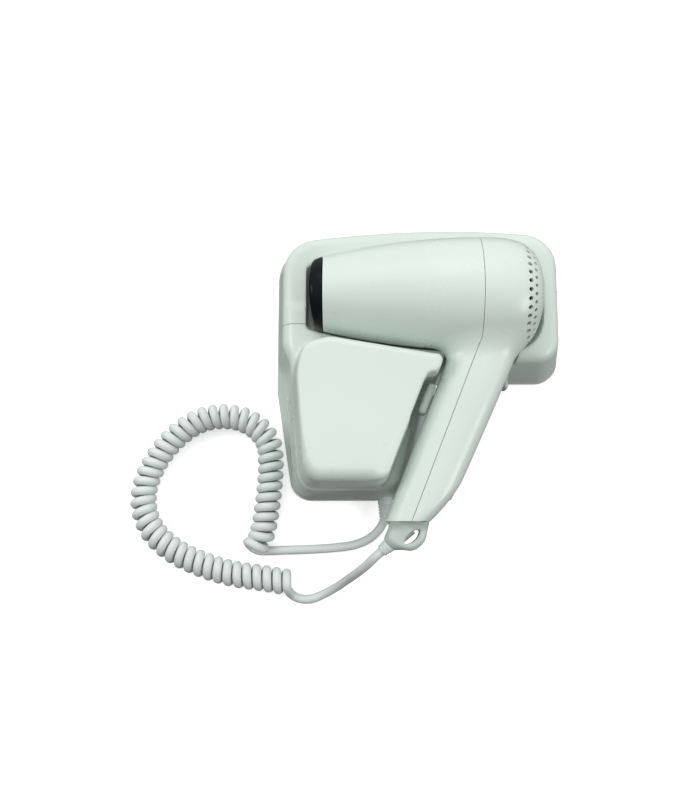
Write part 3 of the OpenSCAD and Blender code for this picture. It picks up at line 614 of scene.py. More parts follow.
drilled(lower_shell, [
    round_bar((GLAND_X, BOTTOM - 5, GLAND_Z), (GLAND_X, BOTTOM + 10, GLAND_Z), GLAND_R + 0.3),
    round_bar(BUTTON - 8 * UNDER, BUTTON + 6 * UNDER, COLLAR_R + 0.15)])
for shell, node in ((upper_shell, "upper_cover"), (lower_shell, "lower_cover")):
    fitted(smoothed(shell), white_shell, "wall_unit", "white_shell", node)

# ------------------------------------------------------------------ handset shells
# A front and a rear shell in the same white ABS meet square across the barrel and down the
# middle of the handle, held by two screws; the rear one ends in the dome, whose shoulder
# is pierced by two staggered rings of small air inlets.
HANDLE_END = -103.5
HANDLE_FRONT = -15.0
HANDLE_HALF_T = 15.5
NECK_BLEND = 10
HANDSET_WALL = 2.0
HOLES_PER_RING = 36
HOLE_RINGS = ((119.6, 2.8, 3.6, 0.0), (123.6, 2.3, 3.0, 0.5))
KNOB_MIDDLE, KNOB_LENGTH, KNOB_TRAVEL = 83.0, 21.0, 6.0
SHELL_SCREWS = (58, 134)


def in_handle(u, v, w=0.0):
    """A place in the handle's own frame (across, along, up from its middle) as x, y, z."""
    c, s = math.cos(HANDLE_LEAN), math.sin(HANDLE_LEAN)
    return Vector((HANDLE_X + u * c - v * s, BARREL_Y - u * s - v * c, BARREL_Z + w))


def rear_edge(v):
    """How far the handle reaches behind its middle line, at v along it."""
    return 26 - 8.5 * (np.clip(v - 20, 0, 200) / 160) ** 1.5


def handle_field(x, y, z):
    """The handle, an oval bar that tapers and is cut square at its end."""
    u, v = handle_uv(x, y)
    rear = rear_edge(v)
    half, middle = (rear - HANDLE_FRONT) / 2, (rear + HANDLE_FRONT) / 2
    oval = ((np.abs(u - middle) / half) ** 2.5
            + (np.abs(z - BARREL_Z) / HANDLE_HALF_T) ** 2.5) ** 0.4
    side = soft_max((oval - 1) * HANDLE_HALF_T, (x - 56.8) * 0.62 - (y - HANDLE_END) * 0.78, 8)
    side = soft_max(side, HANDLE_END - 4 - y, 1)
    return soft_max(side, 18 - v, 2)


def barrel_field(x, y, z):
    """The barrel from behind the nozzle ring to the flat of the dome."""
    reach = np.hypot(y - BARREL_Y, z - BARREL_Z)
    body = (reach - barrel_radius(np.maximum(x, NOZZLE_X))) * 0.93
    return soft_max(soft_max(body, x - DOME_X, 5), RING_X - 4 - x, 1)


def handset_field(x, y, z):
    return soft_min(barrel_field(x, y, z), handle_field(x, y, z), NECK_BLEND)


def geometry_tree(name, inputs):
    """A Geometry Nodes tree with a Piece input, named inputs, and its group in and out."""
    tree = bpy.data.node_groups.new(name, "GeometryNodeTree")
    tree.interface.new_socket("Piece", in_out="INPUT", socket_type="NodeSocketGeometry")
    for key, kind in inputs.items():
        tree.interface.new_socket(key, in_out="INPUT", socket_type="NodeSocket" + kind)
    tree.interface.new_socket("Made", in_out="OUTPUT", socket_type="NodeSocketGeometry")
    return tree, tree.nodes.new("NodeGroupInput").outputs, tree.nodes.new("NodeGroupOutput").inputs


def ended(tree, instances, given, result):
    """Closes a tree with Realize Instances and Set Material."""
    real = add(tree, "GeometryNodeRealizeInstances", {"Geometry": instances})
    coat = add(tree, "GeometryNodeSetMaterial", {"Geometry": real.outputs[0],
                                                 "Material": given["Material"]})
    tree.links.new(coat.outputs[0], result["Made"])


def grown(piece, tree, **values):
    """Runs a tree on a piece with its own values and keeps the result as a plain mesh."""
    modifier = piece.modifiers.new("tree", "NODES")
    modifier.node_group = tree
    for socket in tree.interface.items_tree:
        key = socket.name.lower().replace(" ", "_")
        if socket.in_out == "INPUT" and key in values:
            modifier[socket.identifier] = values[key]
    return applied(piece)


# Repeats a piece evenly round a line that runs along X through Centre.
round_the_barrel, given, result = geometry_tree("round_the_barrel", {
    "Count": "Int", "First Turn": "Float", "Centre": "Vector", "Material": "Material"})
count = add(round_the_barrel, "GeometryNodePoints", {"Count": given["Count"],
                                                     "Position": given["Centre"]})
number = add(round_the_barrel, "GeometryNodeInputIndex").outputs[0]
step = worked(round_the_barrel, "DIVIDE", math.tau, given["Count"])
turned = worked(round_the_barrel, "ADD", number, given["First Turn"])
turned = worked(round_the_barrel, "MULTIPLY", turned, step)
around = add(round_the_barrel, "ShaderNodeCombineXYZ", {"X": turned}).outputs[0]
copies = add(round_the_barrel, "GeometryNodeInstanceOnPoints", {
    "Points": count.outputs[0], "Instance": given["Piece"],
    "Rotation": add(round_the_barrel, "FunctionNodeEulerToRotation", {0: around}).outputs[0]})
ended(round_the_barrel, copies.outputs[0], given, result)

# Repeats a piece along a straight row, every copy turned the same way.
in_a_row, given, result = geometry_tree("in_a_row", {
    "Count": "Int", "Start": "Vector", "Step": "Vector", "Turn": "Vector",
    "Material": "Material"})
count = add(in_a_row, "GeometryNodePoints", {"Count": given["Count"]})
number = add(in_a_row, "GeometryNodeInputIndex").outputs[0]
paces = add(in_a_row, "ShaderNodeVectorMath", {0: given["Step"], "Scale": number},
            operation="SCALE").outputs[0]
spot = add(in_a_row, "ShaderNodeVectorMath", {0: given["Start"], 1: paces},
           operation="ADD").outputs[0]
row = add(in_a_row, "GeometryNodeSetPosition", {"Geometry": count.outputs[0], "Position": spot})
copies = add(in_a_row, "GeometryNodeInstanceOnPoints", {
    "Points": row.outputs[0], "Instance": given["Piece"],
    "Rotation": add(in_a_row, "FunctionNodeEulerToRotation", {0: given["Turn"]}).outputs[0]})
ended(in_a_row, copies.outputs[0], given, result)

BARREL_LINE = Vector((0, BARREL_Y, BARREL_Z)) / 1000


def hole_cutters(x, across, around_it, first):
    """A ring of oval cutters, square to the dome's shoulder at x."""
    radius = float(barrel_radius(x))
    slope = float(barrel_radius(x + 0.1) - barrel_radius(x - 0.1)) / 0.2
    out = Vector((-slope, 0, 1)).normalized()
    along = Vector((out.z, 0, -out.x))
    middle = Vector((x, 0, radius))
    points, sides = [], 12
    for depth in (-6, 3):
        for k in range(sides):
            a = 2 * math.pi * k / sides
            points.append((middle + depth * out + across / 2 * math.cos(a) * Vector((0, 1, 0))
                           + around_it / 2 * math.sin(a) * along) / 1000)
    faces = round_bar((0, 0, 0), (0, 0, 1), 1, sides)[1]
    cutter = facing_out(mesh_object("hole_cutter", points, faces))
    return grown(cutter, round_the_barrel, count=HOLES_PER_RING, first_turn=first,
                 centre=BARREL_LINE, material=white_shell)


def box_shape(corners):
    """Points and faces of a six-sided block from its corners, the lower four first."""
    return corners, [(3, 2, 1, 0), (4, 5, 6, 7), (0, 1, 5, 4), (1, 2, 6, 5), (2, 3, 7, 6),
                     (3, 0, 4, 7)]


hand_points, hand_faces = skin(handset_field, (-20, -112, 10), (138, 88, 94), 1.25)
split_v = (HANDLE_X - SEAM_X) / math.sin(HANDLE_LEAN)
corner_y = BARREL_Y - split_v * math.cos(HANDLE_LEAN)
across = Vector((math.cos(HANDLE_LEAN), -math.sin(HANDLE_LEAN), 0))
PARTING_GAP = 0.17
halves = []
for name, side in (("front_shell_skin", -1), ("rear_shell_skin", 1)):
    seam = SEAM_X + side * PARTING_GAP

    def keep(x, y, z):
        if x < RING_X or y < HANDLE_END:
            return False
        ahead = x - seam if y > corner_y else (Vector((x - seam, y - corner_y, 0))).dot(across)
        return ahead * side > 0

    made = open_skin(hand_points, hand_faces,
                     [((RING_X, 0, 0), (1, 0, 0)), ((0, HANDLE_END, 0), (0, 1, 0)),
                      ((seam, 0, 0), (1, 0, 0)), ((seam, corner_y, 0), across)], keep)
    halves.append(shell_object(name, made, HANDSET_WALL))
front_skin, rear_skin = halves
slot = [in_handle(u, v, w) for w in (-2.3, 2.3) for u, v in
        ((-19, KNOB_MIDDLE - 4.3), (-8, KNOB_MIDDLE - 4.3), (-8, KNOB_MIDDLE + 4.3 + KNOB_TRAVEL),
         (-19, KNOB_MIDDLE + 4.3 + KNOB_TRAVEL))]
slot = slot[3::-1] + slot[:3:-1]
drilled(front_skin, [box_shape(slot)])
drilled(rear_skin, [round_bar(in_handle(9, v), in_handle(34, v), 3) for v in SHELL_SCREWS],
        [hole_cutters(*ring) for ring in HOLE_RINGS])
for shell, node in ((front_skin, "front_shell"), (rear_skin, "rear_shell")):
    fitted(smoothed(shell, 35), white_shell, "handset", "white_shell", node)

# ------------------------------------------------------------------ nozzle ring and grille
# A polished black ring snaps into the barrel's mouth. Its front edge is cut to a shallow
# bow, and a matt black grille of hoops and spokes sits inside it to keep fingers out.
black_nozzle, tree, shader = finish("black_nozzle", specular_ior_level=0.07)
marks = grouped(tree, handling, smear_scale=60.0, dust=0.12)
pits = grouped(tree, grain, scale=900.0, waviness=0.6)
tree.links.new(mixed(tree, marks["Tint"], (0.0030, 0.0055, 0.0068), (0.010, 0.014, 0.016)),
               shader["Base Color"])
tree.links.new(ranged(tree, marks["Smear"], 0.10, 0.20), shader["Roughness"])
tree.links.new(bumped(tree, pits["Height"], 0.05, 0.0001), shader["Normal"])
black_part = moulded("black_part", (0.016, 0.017, 0.019), (0.050, 0.050, 0.048), 0.42, 0.62,
                     pitted=1800.0, depth=0.4, dust=0.8)


def spun(name, profile, sides, start, along, bow=0.0):
    """A piece turned round a line from start (mm). profile lists (distance, radius): a closed
    loop, or a line from axis to axis. bow pushes the front in where it faces the seam."""
    axis = Vector(along).normalized()
    up = Vector((0, 0, 1)) if abs(axis.z) < 0.9 else Vector((0, 1, 0))
    up = (up - axis * up.dot(axis)).normalized()
    other = axis.cross(up)
    solid = profile[0][1] == 0
    front = min(distance for distance, _ in profile)
    inner = profile[1:-1] if solid else profile
    points, faces = [], []
    for distance, radius in inner:
        for k in range(sides):
            a = 2 * math.pi * k / sides
            push = bow * math.sin(a) ** 2 * max(0, 1 - (distance - front) / 6)
            points.append(Vector(start) + (distance + push) * axis
                          + radius * (math.cos(a) * up + math.sin(a) * other))
    rows = len(inner)
    for i in range(rows - 1 if solid else rows):
        j = (i + 1) % rows
        for k in range(sides):
            m = (k + 1) % sides
            faces.append((i * sides + k, i * sides + m, j * sides + m, j * sides + k))
    if solid:
        for end, ring in ((profile[0][0], 0), (profile[-1][0], rows - 1)):
            points.append(Vector(start) + end * axis)
            for k in range(sides):
                faces.append((len(points) - 1, ring * sides + k, ring * sides + (k + 1) % sides))
    made = bmesh.new()
    verts = [made.verts.new(p / 1000) for p in points]
    for face in faces:
        made.faces.new([verts[i] for i in face])
    bmesh.ops.recalc_face_normals(made, faces=made.faces[:])
    return smoothed(as_object(name, made))


def eased(profile, radius, steps=3):
    """A closed profile with each of its corners rounded off."""
    rounded = []
    for i, corner in enumerate(profile):
        here = Vector(corner)
        before, after = Vector(profile[i - 1]), Vector(profile[(i + 1) % len(profile)])
        reach = min(radius, 0.45 * (before - here).length, 0.45 * (after - here).length)
        a = here + (before - here).normalized() * reach
        b = here + (after - here).normalized() * reach
        for k in range(steps + 1):
            t = k / steps
            rounded.append(tuple((1 - t) ** 2 * a + 2 * t * (1 - t) * here + t * t * b))
    return rounded


ring_end = float(barrel_radius(RING_X))
nozzle_ring = spun("nozzle_ring_piece", eased(
    [(1.0, NOZZLE_R - 2.4), (1.2, NOZZLE_R - 0.9), (3.0, NOZZLE_R + 0.2),
     (9.6, ring_end - 0.05), (9.6, ring_end - 2.3), (14.5, ring_end - 2.4),
     (14.5, NOZZLE_R - 3.4), (2.5, NOZZLE_R - 3.4)],
    0.7), 128, (NOZZLE_X, BARREL_Y, BARREL_Z), (1, 0, 0), bow=2.4)
fitted(nozzle_ring, black_nozzle, "handset", "black_nozzle", "nozzle_ring")

hoops = [spun("hoop", eased([(0.3, r - 0.6), (0.3, r + 0.6), (1.7, r + 0.6), (1.7, r - 0.6)], 0.3, 2),
              72, (NOZZLE_X + 4, BARREL_Y, BARREL_Z), (1, 0, 0)) for r in (4.8, 9.6, 14.4)]
hoops.append(spun("hoop", eased([(0, 17.8), (0, 19.2), (2.4, 19.2), (2.4, 17.8)], 0.3, 2),
                  96, (NOZZLE_X + 4, BARREL_Y, BARREL_Z), (1, 0, 0)))


def joined(name, parts):
    """One piece made of several loose parts."""
    made = bmesh.new()
    for part in parts:
        made.from_mesh(part.data)
        bpy.data.objects.remove(part)
    return smoothed(as_object(name, made))


grille_hoops = joined("grille_hoops", hoops)
fitted(grille_hoops, black_part, "handset", "black_part", "outlet_grille")


def bevelled_block(name, low, high, edge, segments=2):
    """A block with rounded edges, between two corners in mm."""
    made = bmesh.new()
    bmesh.ops.create_cube(made, size=1)
    for vert in made.verts:
        vert.co = Vector([(low[k] if vert.co[k] < 0 else high[k]) / 1000 for k in range(3)])
    bmesh.ops.bevel(made, geom=made.edges[:], offset=edge / 1000, segments=segments,
                    profile=0.5, affect="EDGES")
    return smoothed(as_object(name, made))


spokes = bevelled_block("grille_spokes", (NOZZLE_X + 4.6, -0.6, 0.5), (NOZZLE_X + 6.1, 0.6, 18.4), 0.3)
grown(spokes, round_the_barrel, count=6, first_turn=1 / 6, centre=BARREL_LINE, material=black_part)
fitted(smoothed(spokes), black_part, "handset", "black_part")


# ------------------------------------------------------------------ speed knob
# A slide cap moulded in white ABS sits over the slot in the handle's front edge, and its
# stem works the switch inside. Fine ridges across it give the thumb a hold.
HANDLE_FRAME = (Matrix.Translation(Vector((HANDLE_X, BARREL_Y, BARREL_Z)) / 1000)
                @ Matrix.Rotation(-HANDLE_LEAN, 4, "Z"))
KNOB_TOP, KNOB_FOOT, KNOB_HALF_W = -20.5, -15.4, 6.0
RIDGES, RIDGE_STEP = 9, 1.7

cap = bevelled_block("cap", (KNOB_TOP, -KNOB_MIDDLE - KNOB_LENGTH / 2, -KNOB_HALF_W),
                     (KNOB_FOOT, -KNOB_MIDDLE + KNOB_LENGTH / 2, KNOB_HALF_W), 2.2, 4)
stem = bevelled_block("stem", (KNOB_FOOT - 1, -KNOB_MIDDLE - 4, -2), (-9, -KNOB_MIDDLE + 4, 2), 0.4)
ridges = bevelled_block("ridges", (KNOB_TOP - 0.35, -0.42, -4.2), (KNOB_TOP + 0.5, 0.42, 4.2), 0.35)
first_ridge = -KNOB_MIDDLE - RIDGE_STEP * (RIDGES - 1) / 2
grown(ridges, in_a_row, count=RIDGES, start=Vector((0, first_ridge, 0)) / 1000,
      step=Vector((0, RIDGE_STEP, 0)) / 1000, material=white_part)
knob = joined("speed_knob_cap", [cap, stem, ridges])
knob.data.transform(HANDLE_FRAME)
fitted(knob, white_part, "speed_knob", "white_part", "switch_knob")

# ------------------------------------------------------------------ handle cap
# A white end cap plugs into both shells and holds them shut. It is pierced by a leaf-shaped
# hole to hang the handset from, and has a socket for the cord's strain relief.
CAP_OUTLINE = [(31.5, -103.5), (28.5, -115.5), (36.0, -122.5), (52.5, -121.5), (56.0, -103.5)]
CAP_CORNER_R = (3, 7, 9)
CAP_HALF_T = 8.0
RELIEF = Vector((33.5, -116, BARREL_Z))
RELIEF_LINE = Vector((-0.777, -0.629, 0)).normalized()
LEAF = (45.0, -113.25, math.radians(41), 6.7, 2.7)


def leaf_field(x, y):
    """Distance outside the leaf: two arcs that meet in points."""
    middle_x, middle_y, turn, half_l, half_w = LEAF
    dx, dy = x - middle_x, y - middle_y
    a, b = dx * math.cos(turn) + dy * math.sin(turn), dy * math.cos(turn) - dx * math.sin(turn)
    arc = (half_l**2 + half_w**2) / (2 * half_w)
    return soft_max(np.hypot(a, b + arc - half_w) - arc, np.hypot(a, b - arc + half_w) - arc, 1)


def cap_field(x, y, z):
    """The end cap: body, socket for the relief, plug in the handle, hole and bore."""
    sides = [wall(x, y, z * 0, a, b, 0) for a, b in zip(CAP_OUTLINE, CAP_OUTLINE[1:])]
    outline = sides[0]
    for side, radius in zip(sides[1:], CAP_CORNER_R):
        outline = soft_max(outline, side, radius)
    shoulder = np.clip(1 - (HANDLE_END - y) / 7, 0, 1) ** 2
    half_t = CAP_HALF_T + 4.5 * shoulder
    body = soft_max(soft_max(outline, np.abs(z - BARREL_Z) - half_t, 4), y - HANDLE_END + 0.25, 0.8)
    plug = soft_max(soft_max(handle_field(x, y, z) + 2.5, y + 98, 0.6), HANDLE_END - 0.9 - y, 0.4)
    dx, dy = x - RELIEF.x, y - RELIEF.y
    along = dx * RELIEF_LINE.x + dy * RELIEF_LINE.y
    away = np.hypot(dx * RELIEF_LINE.y - dy * RELIEF_LINE.x, z - BARREL_Z)
    socket = soft_max(away - 5.9 + 0.22 * along, np.abs(along + 3) - 8, 1)
    socket = soft_max(socket, y - HANDLE_END + 0.25, 0.8)
    solid = soft_min(soft_min(body, socket, 3), plug, 0.6)
    solid = soft_max(solid, -leaf_field(x, y), 1.3)
    return soft_max(solid, -soft_max(away - 4.95, -14.6 - along, 0.4), 0.6)


cap_points, cap_faces = skin(cap_field, (24, -126, 34), (64, -95, 70), 0.6)
handle_cap = mesh_object("handle_cap_piece", cap_points, cap_faces)
fitted(smoothed(handle_cap, 50), white_part, "handset", "white_part", "handle_cap")

# ------------------------------------------------------------------ strain reliefs
# Soft PVC sleeves, moulded onto the cord, taper away from the handle's cap and from the
# wall unit's underside, and their grooves let them bend with the cord.
BORE = 3.06


def grooved(start, end, thick, thin, grooves):
    """The outside of a tapered sleeve as (distance, radius), with grooves cut across it."""
    outside = []
    for k in range(grooves):
        for part, cut in ((0, 0), (0.5, 0), (0.62, 0.55), (0.88, 0.55)):
            t = (k + part) / grooves
            outside.append((start + t * (end - start), thick + t * (thin - thick) - cut))
    return outside + [(end, thin)]


handset_relief = spun("handset_relief", eased(
    [(-14, BORE), (-14, 4.75), (0.5, 4.75)] + grooved(5.4, 9.8, 4.5, 4.0, 3) + [(9.8, BORE)], 0.25, 2),
    40, RELIEF, RELIEF_LINE)
fitted(handset_relief, cord_jacket, "handset", "cord_jacket", "strain_relief")
base_relief = spun("base_relief", eased(
    [(-7.7, BORE), (-7.7, 5.8), (-6.2, 5.8), (-6.2, 4.95), (0.4, 4.95), (0.4, 5.0), (2, 5.0)]
    + grooved(2.4, 17, 4.9, 3.6, 7) + [(17, BORE)], 0.25, 2), 40,
    (GLAND_X, BOTTOM, GLAND_Z), (0, -1, 0))
fitted(base_relief, cord_jacket, "wall_unit", "cord_jacket", "base_cord_gland")

# ------------------------------------------------------------------ underside button
# A white press button with a domed face rides in a moulded collar, which snaps into the
# underside of the lower cover.
collar = spun("button_collar_piece", eased([(-3, 4.3), (-3, 5.6), (0.7, 5.6), (0.7, 4.3)], 0.35), 48,
              BUTTON, UNDER)
fitted(collar, white_part, "wall_unit", "white_part", "button_collar")
button = spun("base_button_piece", [(-2.8, 0), (-2.8, 3.7), (-2.5, 3.95), (0.2, 3.95), (0.7, 3.6),
                                    (1.0, 2.6), (1.15, 1.2), (1.2, 0)], 48, BUTTON, UNDER)
fitted(button, white_part, "base_button", "white_part", "base_button")

# ------------------------------------------------------------------ cradle peg
# Two small white lobes stand under the block's lower edge, on one foot that is screwed
# from inside. What they hold is not known.
peg = joined("cradle_peg_piece", [
    bevelled_block("foot", (104, -8, 22.2), (112, -3, 34.8), 0.8),
    bevelled_block("left_lobe", (104.1, -14.8, 22.2), (107.3, -7, 34.8), 1.5, 4),
    bevelled_block("right_lobe", (108.7, -14.8, 22.2), (111.9, -7, 34.8), 1.5, 4),
    bevelled_block("web", (105, -13.6, 23), (111, -7, 25), 0.5)])
fitted(peg, white_part, "wall_unit", "white_part", "cradle_peg")

# ------------------------------------------------------------------ metals
# Zinc-plated and drawn steel, turned brass and bare resistance wire, all with the fine
# lines of the tool or die and a little dulling.
drawn_lines, lines_in, lines_out = shader_group(
    "drawn_lines", {"Lines": 1800.0, "Dulling": 0.5}, {"Line": "Float", "Dull": "Float"})
place = add(drawn_lines, "ShaderNodeTexCoord").outputs["Object"]
stretched = add(drawn_lines, "ShaderNodeMapping", {"Vector": place, "Scale": (0.06, 1.0, 1.0)})
fine = add(drawn_lines, "ShaderNodeTexNoise", {"Vector": stretched.outputs[0],
                                               "Scale": lines_in["Lines"], "Detail": 2.0})
spots = add(drawn_lines, "ShaderNodeTexNoise", {"Vector": place, "Scale": 160.0, "Detail": 3.0})
spotty = ranged(drawn_lines, spots.outputs[0], 0, 1, 0.4, 0.7)
dulled = worked(drawn_lines, "MULTIPLY", spotty, lines_in["Dulling"])
drawn_lines.links.new(fine.outputs[0], lines_out["Line"])
drawn_lines.links.new(dulled, lines_out["Dull"])


def metal(name, colour, dull_colour, low, high, lines=1800.0, dulling=0.5):
    """A bare metal: its colour, the colour where it has dulled, and its range of gloss."""
    material, tree, shader = finish(name, metallic=1.0)
    marks = grouped(tree, drawn_lines, lines=lines, dulling=dulling)
    tree.links.new(mixed(tree, marks["Dull"], colour, dull_colour), shader["Base Color"])
    tree.links.new(ranged(tree, marks["Line"], low, high), shader["Roughness"])
    tree.links.new(bumped(tree, marks["Line"], 0.15, 0.00005), shader["Normal"])
    return material


steel = metal("steel", (0.62, 0.63, 0.65), (0.40, 0.41, 0.42), 0.22, 0.42)
brass = metal("brass", (0.80, 0.60, 0.26), (0.50, 0.36, 0.16), 0.20, 0.40, lines=1200.0)
resistance_wire = metal("resistance_wire", (0.42, 0.38, 0.35), (0.20, 0.17, 0.16), 0.35, 0.6,
                        lines=3000.0, dulling=0.9)

# ------------------------------------------------------------------ screws
# Self-tapping pan-head screws in zinc-plated steel, with cross recesses: two hold the upper
# cover on the back plate, and two hold the handset's shells together from the rear.
def screw(name, head_r, head_h, shank_r, shank_l):
    """One screw along Z with its head's foot at the origin."""
    outline = [(-shank_l, 0), (-shank_l + 0.6, shank_r * 0.6), (-shank_l + 2, shank_r)]
    turns = int((shank_l - 5) / 1.1)
    for k in range(turns):
        foot = -shank_l + 2 + 1.1 * k
        outline += [(foot + 0.25, shank_r * 0.8), (foot + 0.7, shank_r)]
    outline += [(0, shank_r), (0, head_r * 0.96), (0.35, head_r), (head_h * 0.6, head_r * 0.9),
                (head_h * 0.9, head_r * 0.55), (head_h, 0)]
    made = spun(name, outline, 28, (0, 0, 0), (0, 0, 1))
    arm, half_w, floor_z = head_r * 0.55, 0.35, head_h - 1.0
    cross = []
    for x, y in ((arm, half_w), (half_w, arm)):
        cross.append(box_shape([(-x, -y, floor_z), (x, -y, floor_z), (x, y, floor_z),
                                (-x, y, floor_z), (-x, -y, head_h + 2), (x, -y, head_h + 2),
                                (x, y, head_h + 2), (-x, y, head_h + 2)]))
    return drilled(made, cross)


cover_screws = screw("cover_screw_row", 3.6, 2.2, 1.4, 15)
grown(cover_screws, in_a_row, count=2, start=Vector((SCREW_X[0], SCREW_Y, SCREW_Z)) / 1000,
      step=Vector((SCREW_X[1] - SCREW_X[0], 0, 0)) / 1000, turn=(-math.pi / 2, 0, 0), material=steel)
fitted(smoothed(cover_screws, 30), steel, "wall_unit", "steel", "cover_screws")
shell_screws = screw("shell_screw_row", 2.7, 2.0, 1.2, 15.5)
grown(shell_screws, in_a_row, count=2, start=in_handle(9, SHELL_SCREWS[0]) / 1000,
      step=(in_handle(9, SHELL_SCREWS[1]) - in_handle(9, SHELL_SCREWS[0])) / 1000,
      turn=(0, math.pi / 2, -HANDLE_LEAN), material=steel)
fitted(smoothed(shell_screws, 30), steel, "handset", "steel", "shell_screws")

cover_cups = joined("cover_screw_cups", [spun("cup", eased(
    [(-7.4, 1.8), (-7.4, 6.4), (2.4, 6.4), (2.4, 4.15), (-0.05, 4.15), (-0.05, 1.8)], 0.3, 2), 36,
    (x, SCREW_Y, SCREW_Z), (0, 1, 0)) for x in SCREW_X])
fitted(cover_cups, white_shell, "wall_unit", "white_shell")
shell_cups = joined("shell_screw_cups", [spun("cup", eased(
    [(0.3, 1.6), (0.3, 4.1), (top, 4.1), (top, 3.05), (8.9, 3.05), (8.9, 1.6)], 0.3, 2), 36,
    in_handle(0, v), in_handle(1, v) - in_handle(0, v))
    for v, top in ((v, float(rear_edge(v)) - 1.6) for v in SHELL_SCREWS)])
fitted(shell_cups, white_shell, "handset", "white_shell")

# ------------------------------------------------------------------ fan wheel
# A moulded nylon hub, pressed on the motor shaft, carries nine twisted blades that draw the
# air in through the dome and push it past the heater.
FAN_X, HUB_R, BLADE_END_R, BLADES = 94.0, 7.0, 32.3, 9
natural_nylon = moulded("natural_nylon", (0.60, 0.61, 0.56), (0.50, 0.50, 0.45), 0.40, 0.58,
                        pitted=1500.0, depth=0.3, dust=0.9)
hub = spun("fan_hub", eased([(0, 1.03), (0, 6.0), (1.2, HUB_R), (8.0, HUB_R), (10, 4.2), (10, 1.03)],
                            0.8), 48, (FAN_X, BARREL_Y, BARREL_Z), (1, 0, 0))
points, faces, ring, rows = [], [], 12, 9
for row in range(rows):
    t = row / (rows - 1)
    reach, pitch = HUB_R - 0.6 + t * (BLADE_END_R - HUB_R + 0.6), math.radians(52 - 16 * t)
    for k in range(ring):
        a = 2 * math.pi * k / ring
        across, thick = 4.5 * math.cos(a), 0.55 * math.sin(a) + 0.7 * math.cos(a) ** 2
        points.append(Vector((FAN_X + 5 + across * math.sin(pitch) + thick * math.cos(pitch),
                              across * math.cos(pitch) - thick * math.sin(pitch), reach)) / 1000)
    if row:
        low_ring, high_ring = (row - 1) * ring, row * ring
        faces += [(low_ring + k, high_ring + k, high_ring + (k + 1) % ring,
                   low_ring + (k + 1) % ring) for k in range(ring)]
faces += [tuple(range(ring)), tuple(range(rows * ring - 1, (rows - 1) * ring - 1, -1))]
blades = facing_out(mesh_object("fan_blades", points, faces))
grown(blades, round_the_barrel, count=BLADES, first_turn=0.0, centre=BARREL_LINE,
      material=natural_nylon)
fitted(hub, natural_nylon, "fan", "natural_nylon", "impeller")
fitted(smoothed(blades), natural_nylon, "fan", "natural_nylon")

# ------------------------------------------------------------------ heater winding
# Bare resistance wire is wound round the crossed mica cards in one open spiral, from the
# nozzle end to the thermostat.
HEATER_START, HEATER_LENGTH, HEATER_R, WIRE_R, HEATER_TURNS = 0.5, 50.5, 14.5, 0.7, 9
winding_tree, given, result = geometry_tree("heater_winding", {
    "Turns": "Float", "Radius": "Float", "Length": "Float", "Wire": "Float",
    "Start": "Vector", "Material": "Material"})
spiral = add(winding_tree, "GeometryNodeCurveSpiral", {
    "Resolution": 40, "Rotations": given["Turns"], "Start Radius": given["Radius"],
    "End Radius": given["Radius"], "Height": given["Length"]})
wire = add(winding_tree, "GeometryNodeCurvePrimitiveCircle", {"Resolution": 8,
                                                              "Radius": given["Wire"]})
bar = add(winding_tree, "GeometryNodeCurveToMesh", {"Curve": spiral.outputs[0],
                                                    "Profile Curve": wire.outputs[0],
                                                    "Fill Caps": True})
laid = add(winding_tree, "GeometryNodeTransform", {"Geometry": bar.outputs[0],
                                                   "Translation": given["Start"],
                                                   "Rotation": (0, math.pi / 2, 0)})
ended(winding_tree, laid.outputs[0], given, result)
winding = mesh_object("heater_winding", [(0, 0, 0), (0.001, 0, 0), (0, 0.001, 0)], [(0, 1, 2)])
grown(winding, winding_tree, turns=float(HEATER_TURNS), radius=HEATER_R / 1000,
      length=HEATER_LENGTH / 1000, wire=WIRE_R / 1000,
      start=Vector((HEATER_START, BARREL_Y, BARREL_Z)) / 1000, material=resistance_wire)
fitted(smoothed(winding), resistance_wire, "handset", "resistance_wire", "heater_coil")

# ------------------------------------------------------------------ parts kept from the frame
# The back plate, switches, terminals, motor, mica and wiring keep their own shapes, and each
# gets the finish of its own stock.
mica, tree, shader = finish("mica")
place = add(tree, "ShaderNodeTexCoord").outputs["Object"]
flakes = add(tree, "ShaderNodeTexVoronoi", {"Vector": place, "Scale": 700.0})
tree.links.new(mixed(tree, flakes.outputs["Distance"], (0.55, 0.47, 0.33), (0.72, 0.66, 0.52)),
               shader["Base Color"])
tree.links.new(ranged(tree, flakes.outputs["Distance"], 0.25, 0.6), shader["Roughness"])
tree.links.new(bumped(tree, flakes.outputs["Distance"], 0.3, 0.0001), shader["Normal"])

circuit_green, tree, shader = finish("circuit_green", roughness=0.35)
place = add(tree, "ShaderNodeTexCoord").outputs["Object"]
tracks = add(tree, "ShaderNodeTexBrick", {"Vector": place, "Scale": 240.0, "Mortar Size": 0.03})
tree.links.new(mixed(tree, tracks.outputs["Fac"], (0.03, 0.14, 0.06), (0.30, 0.26, 0.12)),
               shader["Base Color"])
tree.links.new(bumped(tree, tracks.outputs["Fac"], 0.3, 0.0001), shader["Normal"])
wire_sheath = moulded("wire_sheath", (0.22, 0.10, 0.04), (0.14, 0.08, 0.05), 0.35, 0.5,
                      pitted=2200.0, depth=0.15, dust=0.8)

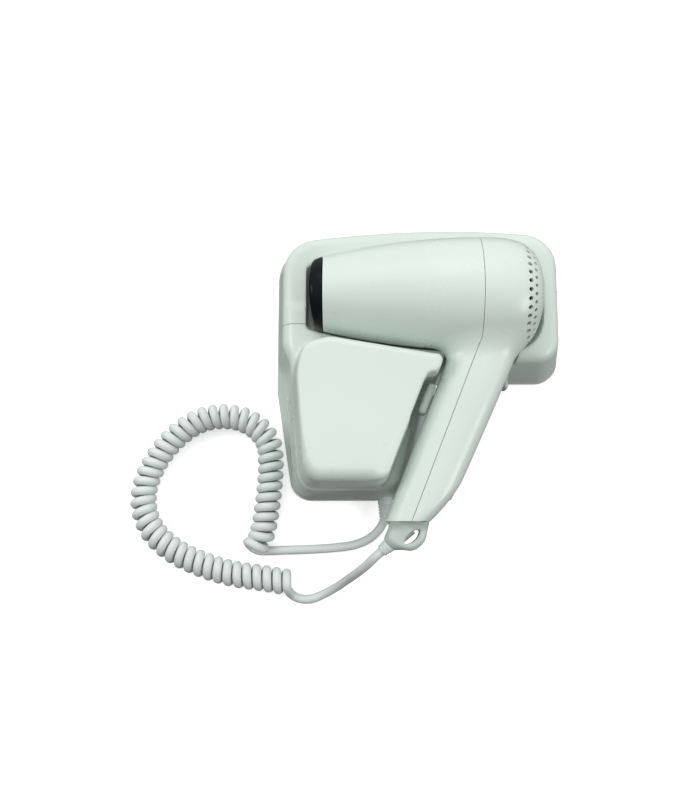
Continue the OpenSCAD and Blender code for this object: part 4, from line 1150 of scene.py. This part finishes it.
finishes = {"white_shell": white_shell, "white_part": white_part, "cord_jacket": cord_jacket,
            "black_nozzle": black_nozzle, "black_part": black_part, "steel": steel,
            "natural_nylon": natural_nylon, "mica": mica, "brass": brass,
            "resistance_wire": resistance_wire, "circuit_green": circuit_green,
            "wire_sheath": wire_sheath}
for part in frame["record"]["subparts"]:
    stock = finishes[part["material_slot"]]
    slots = frame["nodes"][part["node"]].material_slots
    for slot in slots:
        slot.material = stock
    if not slots:
        frame["nodes"][part["node"]].data.materials.append(stock)

# ------------------------------------------------------------------ floor and lights
# The table that the unit lies on, under one broad soft sky that is brightest above the
# upper edge and dim towards the lower one, with a soft box at each side.
floor = mesh_object("floor", [(-3, -3, -0.0002), (3, -3, -0.0002), (3, 3, -0.0002),
                              (-3, 3, -0.0002)], [(0, 1, 2, 3)])
floor.visible_diffuse = False
floor.visible_glossy = False
floor_paint, tree, shader = finish("floor_white", roughness=0.9)
shader["Base Color"].default_value = (0.97, 0.97, 0.97, 1)
shader["Specular IOR Level"].default_value = 0.1
shader["Emission Color"].default_value = (1, 1, 1, 1)
shader["Emission Strength"].default_value = 0.5
floor.data.materials.append(floor_paint)

world = bpy.data.worlds.new("studio")
bpy.context.scene.world = world
world.use_nodes = True
sky = world.node_tree
facing = add(sky, "ShaderNodeTexCoord").outputs["Generated"]
height = add(sky, "ShaderNodeVectorMath", {0: facing, 1: (0.0, 0.72, 0.69)},
             operation="DOT_PRODUCT").outputs["Value"]
bright = ranged(sky, height, 0.14, 1.08, -0.05, 0.75)
sky.links.new(bright, sky.nodes["Background"].inputs["Strength"])
sky.nodes["Background"].inputs["Color"].default_value = (1, 1, 1, 1)

for name, place, size, power in (("key", (-0.10, 0.75, 0.95), 0.8, 2.2),
                                 ("left", (-0.75, 0.10, 0.70), 0.35, 2.4),
                                 ("right", (0.80, -0.35, 0.50), 0.35, 2.6)):
    lamp_data = bpy.data.lights.new(name, "AREA")
    lamp_data.size = size
    lamp_data.energy = power
    lamp = bpy.data.objects.new(name, lamp_data)
    lamp.location = place
    aim = Vector((0.03, 0, 0.03)) - Vector(place)
    lamp.rotation_euler = aim.to_track_quat("-Z", "Y").to_euler()
    bpy.context.scene.collection.objects.link(lamp)
